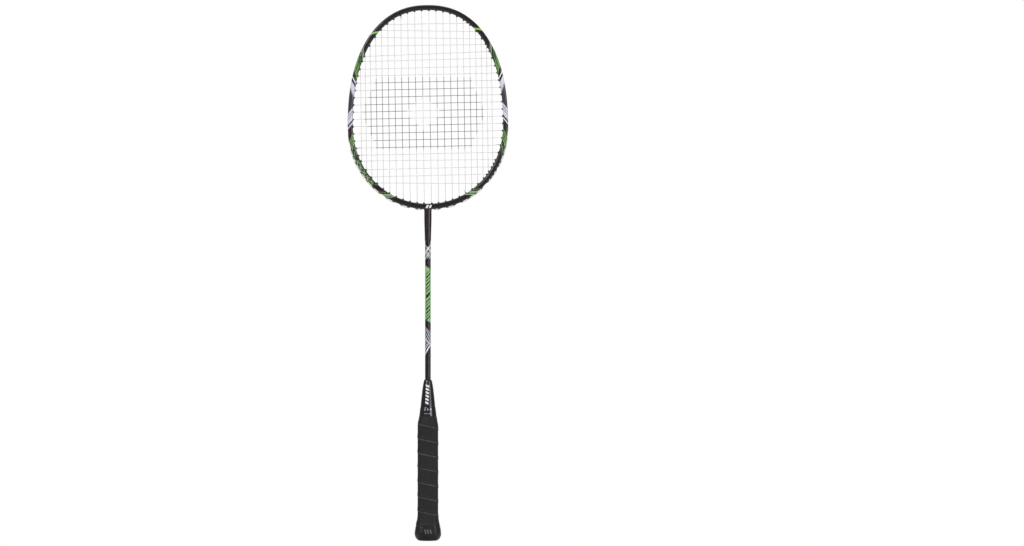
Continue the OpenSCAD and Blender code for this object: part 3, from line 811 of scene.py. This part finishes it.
def set_grommets(name, holes, master, material, tree):
    piece = add_piece(name, [(h.seat.x, 0, h.seat.y) for h in holes])
    set_points(piece, "way", [(h.way.x, 0.0, h.way.y) for h in holes])
    set_points(piece, "extra", [(h.length - MASTER_LENGTH) * MM for h in holes], "FLOAT")
    grown(piece, tree, {"Fitting": master, "Material": material})
    keep_edges(piece, 50)
    return piece


def nylon_finish():
    return grained("grommet_nylon", ((36, 34, 36), (54, 52, 55)), {"scale": 2.4}, (0.2, 0.34), (0.2, 0.05),
                   Roughness=0.42, Specular_IOR_Level=0.45)


# ---- Throat sleeve and shaft --------------------------------------------------------------------

shaft_low, shaft_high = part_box("shaft")
SHAFT_R = shaft_high.x / MM
SHAFT_BORE_R = 2.3
sleeve_low, sleeve_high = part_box("throat_sleeve")
SLEEVE_R = sleeve_high.x / MM
SLEEVE_FOOT_Z = sleeve_low.z / MM
SLEEVE_LIP_R = 3.9
SLEEVE_STRAIGHT = 12.0


def hoop_underside(x, y):
    """Height of the tube's outside at the bottom of the head."""
    a = -90 + math.degrees(math.atan2(x, HEAD_DROP))
    past_flat = max(0.0, abs(y) - (RIM_DEPTH / 2 - OUTER_ROUND))
    sink = OUTER_ROUND - math.sqrt(max(0.0, OUTER_ROUND ** 2 - min(past_flat, OUTER_ROUND) ** 2))
    return outline(a).y + sink


def build_sleeve():
    """Resin sleeve that swells into the tube of the head through a small fillet."""
    sides, bore = 72, SHAFT_R + 0.04
    fillet_out, fillet_rise, fillet_steps, sunk = 1.5, 2.6, 10, 0.25
    lip_z, straight_z = SLEEVE_FOOT_Z + 0.3, HEAD_FOOT - SLEEVE_STRAIGHT
    profile = [
        (bore, lip_z), (SLEEVE_LIP_R - 0.3, SLEEVE_FOOT_Z),
        (SLEEVE_LIP_R - 0.08, SLEEVE_FOOT_Z + 0.08), (SLEEVE_LIP_R, lip_z),
    ]
    for k in range(1, 13):
        t = k / 12
        swell = ease(t) * 0.35 + t * 0.65
        profile.append((mix(SLEEVE_LIP_R, SLEEVE_R, swell), mix(lip_z, straight_z, t)))
    rings = [level_ring(r, height, sides) for r, height in profile]
    for k in range(fillet_steps + 1):
        t = math.radians(90 * k / fillet_steps)
        ring = []
        for s in range(sides):
            u = TURN * s / sides
            r = SLEEVE_R + fillet_out * (1 - math.cos(t)) * abs(math.sin(u)) ** 0.8
            x, y = r * math.sin(u), -min(r, RIM_DEPTH / 2 - 0.12) * math.cos(u)
            ring.append((x, y, hoop_underside(x, y) + sunk - fillet_rise * (1 - math.sin(t))))
        rings.append(ring)
    rings.append(level_ring(bore, HEAD_FOOT + 1.0, sides))
    return stacked("throat_resin_sleeve", rings, 40)


def sleeve_finish():
    f = Finish("sleeve_gloss_black", Roughness=0.28, Specular_IOR_Level=0.35, Coat_Weight=0.3,
               Coat_Roughness=0.07)
    grain = f.noise(0.8, 4.0, 0.6)
    streaks = f.noise(1.0, stretch=(1.2, 1.2, 0.08))
    return f.done(f.over(BLACK, WARM_BLACK, streaks), grain * 0.16 + 0.2, grain, 0.1, 0.04)


def build_shaft():
    low, high = shaft_low.z / MM, shaft_high.z / MM
    steps, inner_steps, bevel = 120, 12, 0.2
    profile = [(SHAFT_BORE_R, low), (SHAFT_R - bevel, low), (SHAFT_R, low + bevel)]
    profile += [(SHAFT_R, mix(low + bevel, high - bevel, k / steps)) for k in range(1, steps + 1)]
    profile += [(SHAFT_R - bevel, high), (SHAFT_BORE_R, high)]
    profile += [(SHAFT_BORE_R, mix(high, low, k / inner_steps)) for k in range(1, inner_steps)]
    return turned("shaft_tube", profile, 64, 50)


# Dark slashes of the green field: from, to and colour
SLASHES = (
    (279.0, 281.2, BLACK), (283.6, 285.0, DARK_GREEN), (287.2, 289.6, BLACK), (292.0, 294.6, BLACK),
    (297.4, 298.8, DARK_GREEN), (301.2, 303.2, BLACK), (306.8, 311.4, BLACK), (314.4, 316.0, DARK_GREEN),
    (318.2, 320.4, BLACK), (323.0, 325.4, BLACK), (328.2, 329.8, DARK_GREEN), (332.2, 334.6, BLACK),
    (337.2, 338.6, DARK_GREEN),
)


def shaft_finish():
    """Gloss black with crossed white lines at two places and a green field with dark slashes."""
    f = Finish("shaft_paint", Roughness=0.28, Specular_IOR_Level=0.35, Coat_Weight=0.3, Coat_Roughness=0.05)
    share = (f.x / SHAFT_R).sum("MAXIMUM", -1.0).sum("MINIMUM", 1.0)
    round_by = share.sum("ARCSINE") * SHAFT_R

    def lean(slope):
        return round_by * slope + f.z

    def crossed_lines(colour, field, ground, thin, bold, reach):
        """A toned field with two sets of fine lines, and bold lines that go past it."""
        colour = f.over(colour, *ground)
        fine, other = [lean(slope).repeats(pitch, share) for slope, pitch, share in thin]
        colour = f.over(colour, LILAC, field * fine.either(other))
        for slope, middle, half in bold:
            colour = f.over(colour, WHITE, lean(slope).near(middle, half) * f.z.between(*reach))
        return colour

    upper = f.z.between(355.0, 369.0)
    colour = crossed_lines(
        BLACK, upper, (srgb(70, 68, 76), upper * 0.35), ((-1.36, 4.3, 0.17), (0.86, 4.9, 0.14)),
        ((-1.36, 367.5, 1.0), (0.86, 368.7, 0.6), (-1.36, 360.4, 0.55), (0.86, 360.6, 0.45)),
        (353.5, 377.0))
    green = (lean(0.7) < 344.2) * (lean(0.55) > 276.8)
    colour = f.over(colour, srgb(146, 196, 124), green)
    stops = [stop for low, high, tint in SLASHES for stop in ((low, tint), (high, None))]
    slash, cover = f.bands(lean(-1.0), (276, 346), stops)
    colour = f.over(colour, slash, green * cover * round_by.near(0.3, 2.9))
    lower = (lean(0.8) < 266.5) * (lean(-1.55) > 246.0)
    colour = crossed_lines(
        colour, lower, (srgb(70, 70, 80), lower * 0.5), ((-1.55, 4.6, 0.2), (1.9, 6.1, 0.15)),
        ((-1.55, 241.6, 1.5), (-1.55, 246.6, 0.5), (0.96, 251.0, 0.55)), (232.0, 257.5))
    grain = f.noise(0.9, 4.0, 0.6)
    return f.done(colour, grain * 0.14 + 0.2, grain, 0.1, 0.04)


# ---- Cone cap and finishing band ----------------------------------------------------------------

cone_low, cone_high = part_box("cone_cap")
band_low, band_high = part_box("finishing_band")
CONE_TOP_Z, CONE_SKIRT_Z = cone_high.z / MM, cone_low.z / MM
CONE_FOOT_R, CONE_TOP_R = cone_high.x / MM, 4.2
SKIRT_BORE_R, NECK_BORE_R, SKIRT_BORE_Z, NECK_BORE_Z = 7.9, 6.8, 171.1, 173.4
BAND_LOW_Z, BAND_TOP_Z = band_low.z / MM, band_high.z / MM
BAND_LOW_R, BAND_TOP_R = band_high.x / MM, 9.65


def build_cone():
    steps, rise, bore = 40, CONE_TOP_Z - BAND_TOP_Z, SHAFT_R + 0.04
    profile = [(bore, CONE_TOP_Z - 0.35), (SHAFT_R + 0.2, CONE_TOP_Z - 0.06),
               (CONE_TOP_R - 0.25, CONE_TOP_Z), (CONE_TOP_R - 0.05, CONE_TOP_Z - 0.12)]
    for k in range(1, steps + 1):
        t = (k / steps) ** 1.5
        profile.append((mix(CONE_TOP_R, CONE_FOOT_R, t ** 0.6), CONE_TOP_Z - t * rise))
    profile += [(CONE_FOOT_R, CONE_SKIRT_Z), (SKIRT_BORE_R, CONE_SKIRT_Z), (SKIRT_BORE_R, SKIRT_BORE_Z),
                (NECK_BORE_R, NECK_BORE_Z), (bore, CONE_TOP_Z - 9)]
    return turned("cone_shell", profile, 96, 40)


def cone_finish():
    f = Finish("cone_gloss", Roughness=0.34, Specular_IOR_Level=0.4, Coat_Weight=0.3, Coat_Roughness=0.16)
    grain = f.noise(0.7, 4.0, 0.6)
    lean = f.x * 0.45 + f.z
    bars = lean.repeats(4.3, 0.6) * lean.between(171.9, 196.2) * (f.z * -0.035 + f.x).near(-7.2, 2.0)
    swirls = f.noise(1.5, 4.0, 0.7, stretch=(0.3, 0.3, 1.6)) > 0.64
    colour = f.over(srgb(20, 19, 22), srgb(34, 33, 37), grain)
    colour = f.over(colour, srgb(248, 250, 255), bars)
    return f.done(colour, grain * 0.14 + 0.24 + swirls * 0.1, grain, 0.08, 0.05)


def build_band():
    """Vinyl band over the tape's end, with its two rolled edges and a faint ridge where it laps."""
    sides, steps, ridge, lap_at, skin = 128, 14, 0.16, 2.4, CONE_FOOT_R + 0.05
    profile = []
    for k in range(steps + 1):
        t = k / steps
        edge = 0.12 * (ease(t * 9) * ease((1 - t) * 9) - 1)
        profile.append((mix(BAND_LOW_R, BAND_TOP_R, t) + edge, mix(BAND_LOW_Z, BAND_TOP_Z, t)))
    rings = []
    for index, (r, height) in enumerate(profile):
        ring = []
        for s in range(sides):
            u = TURN * s / sides
            lap = ridge * ease((math.cos(u - lap_at) - 0.93) / 0.01) if index else 0.0
            ring.append(((r - ridge + lap) * math.sin(u), (lap + ridge - r) * math.cos(u), height))
        rings.append(ring)
    for r, height in ((skin, BAND_TOP_Z), (skin, 165.1), (9.75, 165.0), (BAND_LOW_R - 0.33, BAND_LOW_Z)):
        rings.append(level_ring(r, height, sides))
    return stacked("vinyl_finishing_band", rings, 40)


def band_finish():
    """Creased vinyl with three small lozenges and a thin line under them."""
    f = Finish("band_vinyl", Roughness=0.2, Specular_IOR_Level=0.45, Coat_Weight=0.4, Coat_Roughness=0.07)
    creases = f.noise(0.9, 4.0, 0.62, stretch=(0.5, 0.5, 1.4))
    off = abs(f.x)
    column = abs(off - 3.6).sum("MINIMUM", off)
    marks = (abs(f.z - 165.6) * 0.62 + column < 1.25) * (off < 5.6)
    line = f.z.near(160.2, 0.35) * (off < 4.6)
    colour = f.over(srgb(24, 24, 27), srgb(38, 38, 42), creases)
    colour = f.over(colour, srgb(150, 152, 162), marks.either(line))
    return f.done(colour, creases * 0.2 + 0.06, creases, 0.35, 0.25)


# ---- Wound grip ---------------------------------------------------------------------------------

GRIP_HALF, BUTT_HALF, BUTT_FLAT_R = 12.9, 16.75, 9.5
BUTT_WIDE_Z, FLARE_TOP_Z, SHOULDER_Z = 9.0, 36.0, 146.0
GRIP_LOW_Z, TAPE_T, BEVEL = 2.5, 1.7, 4.6
LAPS_FROM_Z, LAPS_TO_Z = 17, 148
FLARE_SHAPE, BUTT_ROUND = 0.85, 0.35
WRAP_PITCH, WRAP_START_Z = 18.28, 34.8
TAPE_TOP_Z = BAND_LOW_Z + 1.4
WRAP_LENGTH = 96.0


def grip_r(z):
    if z < BUTT_WIDE_Z:
        return BUTT_FLAT_R + (BUTT_HALF - BUTT_FLAT_R) * math.sqrt(1 - (1 - z / BUTT_WIDE_Z) ** 2)
    if z < FLARE_TOP_Z:
        up = (z - BUTT_WIDE_Z) / (FLARE_TOP_Z - BUTT_WIDE_Z)
        return mix(BUTT_HALF, GRIP_HALF, ease(up ** FLARE_SHAPE))
    if z < SHOULDER_Z:
        return GRIP_HALF
    return mix(GRIP_HALF, BAND_LOW_R, (z - SHOULDER_Z) / (BAND_LOW_Z - SHOULDER_Z))


def roundness(z):
    if z < BUTT_WIDE_Z:
        return mix(1, BUTT_ROUND, (z - GRIP_LOW_Z) / (BUTT_WIDE_Z - GRIP_LOW_Z))
    if z < FLARE_TOP_Z:
        return mix(BUTT_ROUND, 0, (z - BUTT_WIDE_Z) / (FLARE_TOP_Z - BUTT_WIDE_Z))
    return clamp((z - SHOULDER_Z) / (BAND_LOW_Z - SHOULDER_Z))


def soft_least(a, b, width):
    share = clamp(0.5 + 0.5 * (b - a) / width)
    return mix(b, a, share) - width * share * (1 - share)


def handle_reach(u, r, round_by, softness):
    """Distance from the axis to a bevelled square with softened corners, in direction u."""
    quarter = (u + math.pi / 4) % (math.pi / 2) - math.pi / 4
    eighth = u % (math.pi / 2) - math.pi / 4
    flat = r / math.cos(quarter)
    face = (2 * r - BEVEL * r / GRIP_HALF) / math.sqrt(2) / math.cos(eighth)
    return mix(soft_least(flat, face, softness), r, round_by)


def wrap_height(phase):
    """How far the tape stands up across one turn: its lapped edge, the lap, then the flat."""
    lap = 0.4 * (0.72 + 0.28 * ease(phase / 0.02)) * (1 - ease((phase - 0.1) / 0.17))
    dip = 0.16 * ease((phase - 0.93) / 0.06)
    return lap - dip


def build_grip():
    """The tape wound up the handle in one continuous helix of rows, with a plain inner wall."""
    phases = [0.0, 0.01, 0.022, 0.05, 0.09, 0.13, 0.17, 0.21, 0.25, 0.29, 0.36, 0.44, 0.52, 0.6, 0.68,
              0.76, 0.84, 0.9, 0.94, 0.965, 0.985, 0.9995]
    columns = 128
    first = math.floor((GRIP_LOW_Z - WRAP_START_Z) / WRAP_PITCH) - 1
    last = math.ceil((TAPE_TOP_Z - WRAP_START_Z) / WRAP_PITCH) + 1
    rows = [(turn, phase) for turn in range(first, last) for phase in phases]
    vertices, marks = [], []
    for turn, phase in rows:
        for c in range(columns + 1):
            u = -math.pi + TURN * c / columns
            z = WRAP_START_Z + WRAP_PITCH * (turn + phase - u / TURN)
            held = clamp(z, GRIP_LOW_Z, TAPE_TOP_Z)
            strength = ease((held - LAPS_FROM_Z) / 5) * (1 - ease((held - LAPS_TO_Z) / 7))
            tuck = 0.75 * ease((held - BAND_LOW_Z + 0.4) / 1.0)
            r = handle_reach(u, grip_r(held), roundness(held), 1.3)
            r += strength * (wrap_height(phase) - 0.04) - tuck
            edge = strength if phase < 0.012 or phase > 0.98 else 0.0
            vertices.append((r * math.sin(u), -r * math.cos(u), held))
            marks.append(((turn + u / TURN) * WRAP_LENGTH, phase * WRAP_PITCH, edge))
    wide = columns + 1
    faces = []
    for k in range(len(rows) - 1):
        for c in range(columns):
            a = k * wide + c
            faces.append((a, a + 1, a + 1 + wide, a + wide))
    outer_low = list(range(columns))
    outer_high = [(len(rows) - 1) * wide + c for c in range(columns)]
    base = len(vertices)
    inner_zs = [GRIP_LOW_Z, 5, 9, 15, 22, 29, 36, 80, 120, SHOULDER_Z, 152, BAND_LOW_Z, TAPE_TOP_Z]
    for z in inner_zs:
        for c in range(columns):
            u = -math.pi + TURN * c / columns
            r = handle_reach(u, grip_r(z) - TAPE_T, roundness(z), 0.6)
            vertices.append((r * math.sin(u), -r * math.cos(u), z))
            marks.append((0.0, 0.5 * WRAP_PITCH, 0.0))
    for k in range(len(inner_zs) - 1):
        for c in range(columns):
            a, b = base + k * columns + c, base + k * columns + (c + 1) % columns
            faces.append((a, a + columns, b + columns, b))
    top = base + (len(inner_zs) - 1) * columns
    for c in range(columns):
        d = (c + 1) % columns
        faces.append((outer_low[c], base + c, base + d, outer_low[d]))
        faces.append((outer_high[c], outer_high[d], top + d, top + c))
    piece = add_piece("wound_grip", vertices, faces)
    set_points(piece, "tape", marks)
    face_outwards(piece)
    keep_edges(piece, 50)
    return piece


def grip_finish():
    """Matte black tape: fine leather grain, rows of pores and a paler line along every lap edge."""
    f = Finish("grip_tape_matte", Roughness=0.62, Specular_IOR_Level=0.35,
               Sheen_Weight=0.12, Sheen_Roughness=0.4)
    along, over, edge = f.read("tape")
    rubbed, grain = f.noise(0.06, 3.0, 0.6), f.noise(3.2, 4.0, 0.65)
    row, file = (along / 3.0).fraction() - 0.5, (over / 3.05).fraction() - 0.5
    pore = ((row * row + file * file).sum("SQRT") < 0.13) * f.z.between(22.0, 150.0)
    colour = f.over(srgb(22, 22, 23), srgb(34, 34, 35), rubbed)
    colour = f.over(colour, srgb(15, 15, 16), pore * 0.8)
    # A paler grey line along each lap edge, patchy along its length
    pale_lap_line = edge * (f.noise(0.16, 2.0) * 1.7 - 0.1).held()
    colour = f.over(colour, srgb(108, 108, 110), pale_lap_line)
    # The stretched tape of the flare is smoother, with three short pale bars on its front and back
    flare = (f.z * -0.2 + 4.8).held()
    leaning = f.z * 0.3 + f.x
    bars = leaning.repeats(3.4, 0.42) * f.z.between(9.6, 14.6) * leaning.between(-0.1, 8.3)
    colour = f.over(colour, srgb(118, 118, 124), bars * 0.8)
    dull, smooth = rubbed * 0.25 + 0.48, rubbed * 0.2 + 0.24
    return f.done(colour, (smooth - dull) * flare + dull, grain - pore * 1.4, 0.8, 0.2)


def build_butt_cap():
    """Moulded end cap: a shallow round recess with a raised ring, and a domed edge."""
    plug_r, plug_h, axis_r, dome_steps = 4.8, 8.0, 0.001, 10
    rim_z = GRIP_LOW_Z - 0.05
    profile = [(axis_r, 0.5), (3.0, 0.5), (3.25, 0.4), (3.4, 0.15), (3.6, 0.05), (4.2, 0.05), (4.4, 0.15),
               (4.55, 0.4), (4.8, 0.5), (6.8, 0.5), (7.1, 0.35), (7.3, 0.08), (7.6, 0.0), (8.9, 0.0)]
    for k in range(dome_steps + 1):
        z = rim_z * (k / dome_steps) ** 1.4
        profile.append((grip_r(z) - (0.3 if k == dome_steps else 0.0), z))
    profile += [(plug_r, rim_z), (plug_r, plug_h), (axis_r, plug_h)]
    return turned("moulded_butt_cap", profile, 96, 50)


def butt_finish():
    f = Finish("butt_cap_satin", Roughness=0.4, Specular_IOR_Level=0.45)
    pebbled = f.noise(2.6, 4.0, 0.6)
    scraped = (f.z < 0.35) * f.noise(1.2, stretch=(0.3, 2.0, 1))
    colour = f.over(srgb(32, 32, 34), srgb(44, 44, 46), pebbled)
    colour = f.over(colour, srgb(86, 86, 88), scraped * 0.5)
    return f.done(colour, scraped * 0.3 + 0.36, pebbled, 0.3, 0.06)


# ---- Pieces inside, carried over from the CAD model ---------------------------------------------

def wood_finish():
    """Pale sanded wood: growth bands wander along the handle, with short darker flecks."""
    f = Finish("handle_wood", Roughness=0.6)
    sway = f.noise(1.0, stretch=(0.05, 0.05, 0.012))
    rings = (f.x * 1.5 + sway * 26.0).sum("SINE")
    flecks = f.noise(1.0, 4.0, stretch=(2.2, 2.2, 0.12))
    colour = f.over(srgb(214, 182, 138), srgb(184, 146, 100), rings * 0.5 + 0.5)
    colour = f.over(colour, srgb(150, 112, 72), (flecks > 0.6) * 0.5)
    return f.done(colour, flecks * 0.2 + 0.5, flecks, 0.3, 0.1)


def cast_finish():
    return grained("cast_alloy", ((150, 151, 155), (186, 187, 192)),
                   {"scale": 1.8, "detail": 5.0, "roughness": 0.65}, (0.25, 0.35), (0.5, 0.08),
                   Metallic=1.0, Roughness=0.45)


def wire_finish():
    return grained("bright_wire", ((178, 180, 184), (208, 210, 214)),
                   {"scale": 1.0, "stretch": (0.4, 6.0, 6.0)}, (0.2, 0.2), (0.15, 0.02),
                   Metallic=1.0, Roughness=0.28)


# ---- Putting it together ------------------------------------------------------------------------

def settle(piece, material, node):
    """The piece takes its finish, rides with the racket and stands for its CAD node."""
    if material is not None:
        refinish(piece, material)
    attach(piece, "root")
    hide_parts(node)


def refinish(piece, material):
    piece.data.materials.clear()
    piece.data.materials.append(material)


for build, finish, slot, node in (
    (build_hoop, hoop_paint, "head_paint", "head_frame"),
    (build_sleeve, sleeve_finish, "black_gloss", "throat_sleeve"),
    (build_shaft, shaft_finish, "shaft_paint", "shaft"),
    (build_cone, cone_finish, "cone_plastic", "cone_cap"),
    (build_band, band_finish, "band", "finishing_band"),
    (build_grip, grip_finish, "grip", "grip_tape"),
    (build_butt_cap, butt_finish, "butt_plastic", "butt_cap"),
):
    settle(build(), finish(), node)

sweep, coat = sweep_tree(), string_finish()
STRING_SIDES = 8
for name, path, node in (("woven_main_string", main_string_path(), "main_string"),
                         ("woven_cross_string", cross_string_path(), "cross_string")):
    settle(swept(name, softened(path), STRING_D, STRING_SIDES, coat, sweep), None, node)

setting, nylon = set_tree(), nylon_finish()
master = grommet_master("grommet_master", BARREL_R, BORE_R)
wide_master = grommet_master("wide_grommet_master", WIDE_BARREL_R, WIDE_BORE_R)
# Each moulded strip takes the plain holes from one angle round the head to another
STRIPS = (
    ("crown_grommets", 65, 115), ("right_shoulder_grommets", 20, 65), ("left_shoulder_grommets", 115, 160),
    ("right_side_grommets", 340, 380), ("left_side_grommets", 160, 200), ("left_heel_grommets", 200, 242),
    ("throat_grommets", 242, 298), ("right_heel_grommets", 298, 340),
)
slanted_ids = {id(main_feet[-1, 1]), id(main_feet[1, 1])}
plain_holes = [h for h in all_holes if not h.shared and id(h) not in slanted_ids]
groups = [(node, [h for h in plain_holes if (h.angle - low) % 360 < high - low], master)
          for node, low, high in STRIPS]
groups.append(("slanted_grommets", [h for h in all_holes if id(h) in slanted_ids], master))
groups.append(("shared_grommets", [h for h in all_holes if h.shared], wide_master))
for node, holes, fitting in groups:
    settle(set_grommets("turned_" + node, holes, fitting, nylon, setting), None, node)
for spare in (master, wide_master):
    bpy.data.objects.remove(spare)

refinish(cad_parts["handle_core"], wood_finish())
refinish(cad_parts["t_joint"], cast_finish())
refinish(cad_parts["grip_staple"], wire_finish())


# ---- Studio -------------------------------------------------------------------------------------

PLAIN_WHITE = (1, 1, 1, 1)
AIR_STRENGTH = 0.17


def white_to_camera(tree, lit, kind, surface):
    """The camera sees plain white where every other ray sees what is lit."""
    white, ray, choose = [add(tree, k) for k in (kind, "ShaderNodeLightPath", "ShaderNodeMixShader")]
    white.inputs["Color"].default_value = PLAIN_WHITE
    white.inputs["Strength"].default_value = 1.0
    join(tree, (ray, "Is Camera Ray", choose, "Fac"), (lit, 0, choose, 1), (white, 0, choose, 2),
         (choose, 0, surface, "Surface"))


def paper_finish():
    f = Finish("studio_paper", Roughness=0.9, Specular_IOR_Level=0.1)
    tone = f.over((0.7, 0.7, 0.7, 1.0), (0.75, 0.75, 0.75, 1.0), f.noise(0.02))
    f.feed(f.shader.inputs["Base Color"], tone)
    white_to_camera(f.tree, f.shader, "ShaderNodeEmission", f.tree.nodes["Material Output"])
    return f.material


def build_floor():
    reach, sides, top, base = 14000.0, 96, -0.4, -30.0
    rings = [[(r * math.cos(TURN * s / sides), r * math.sin(TURN * s / sides), h) for s in range(sides)]
             for r, h in ((1.0, top), (3000.0, top), (reach, top), (reach, base), (1.0, base))]
    piece = stacked("studio_floor", rings, 30)
    piece.data.materials.append(paper_finish())


def soft_light(name, place, aim, size, power):
    data = bpy.data.lights.new(name, "AREA")
    data.shape = "RECTANGLE"
    data.size, data.size_y = size
    data.energy = power
    light = bpy.data.objects.new(name, data)
    light.location = place
    light.rotation_mode = "QUATERNION"
    light.rotation_quaternion = (Vector(aim) - Vector(place)).to_track_quat("-Z", "Y")
    bpy.context.scene.collection.objects.link(light)


def build_studio():
    build_floor()
    world = bpy.data.worlds.new("studio_air")
    bpy.context.scene.world = world
    world.use_nodes = True
    air = world.node_tree.nodes["Background"]
    air.inputs["Color"].default_value = PLAIN_WHITE
    air.inputs["Strength"].default_value = AIR_STRENGTH
    white_to_camera(world.node_tree, air, "ShaderNodeBackground", world.node_tree.nodes["World Output"])
    middle = (0.0, 0.0, 0.36)
    soft_light("key_light", (-1.6, -2.2, 1.7), middle, (1.4, 1.0), 40)
    soft_light("fill_light", (1.9, -1.9, 0.9), middle, (1.2, 1.6), 28)
    soft_light("top_light", (0.0, 0.3, 2.6), middle, (1.6, 1.2), 20)
    soft_light("back_light", (0.9, 2.2, 1.4), middle, (1.6, 1.4), 20)


def build_camera():
    """Level, square to the head, with the racket in the left half of the frame."""
    distance, seen_width = 6.0, 1.2908
    data = bpy.data.cameras.new("camera")
    data.sensor_width = 36.0
    data.lens = data.sensor_width * distance / seen_width
    data.clip_start, data.clip_end = 0.05, 60.0
    camera = bpy.data.objects.new("camera", data)
    camera.location = (0.106, -distance, 0.3373)
    camera.rotation_euler = (math.radians(90), 0.0, 0.0)
    bpy.context.scene.collection.objects.link(camera)
    bpy.context.scene.camera = camera


build_studio()
build_camera()
bpy.context.scene.view_settings.view_transform = "Standard"
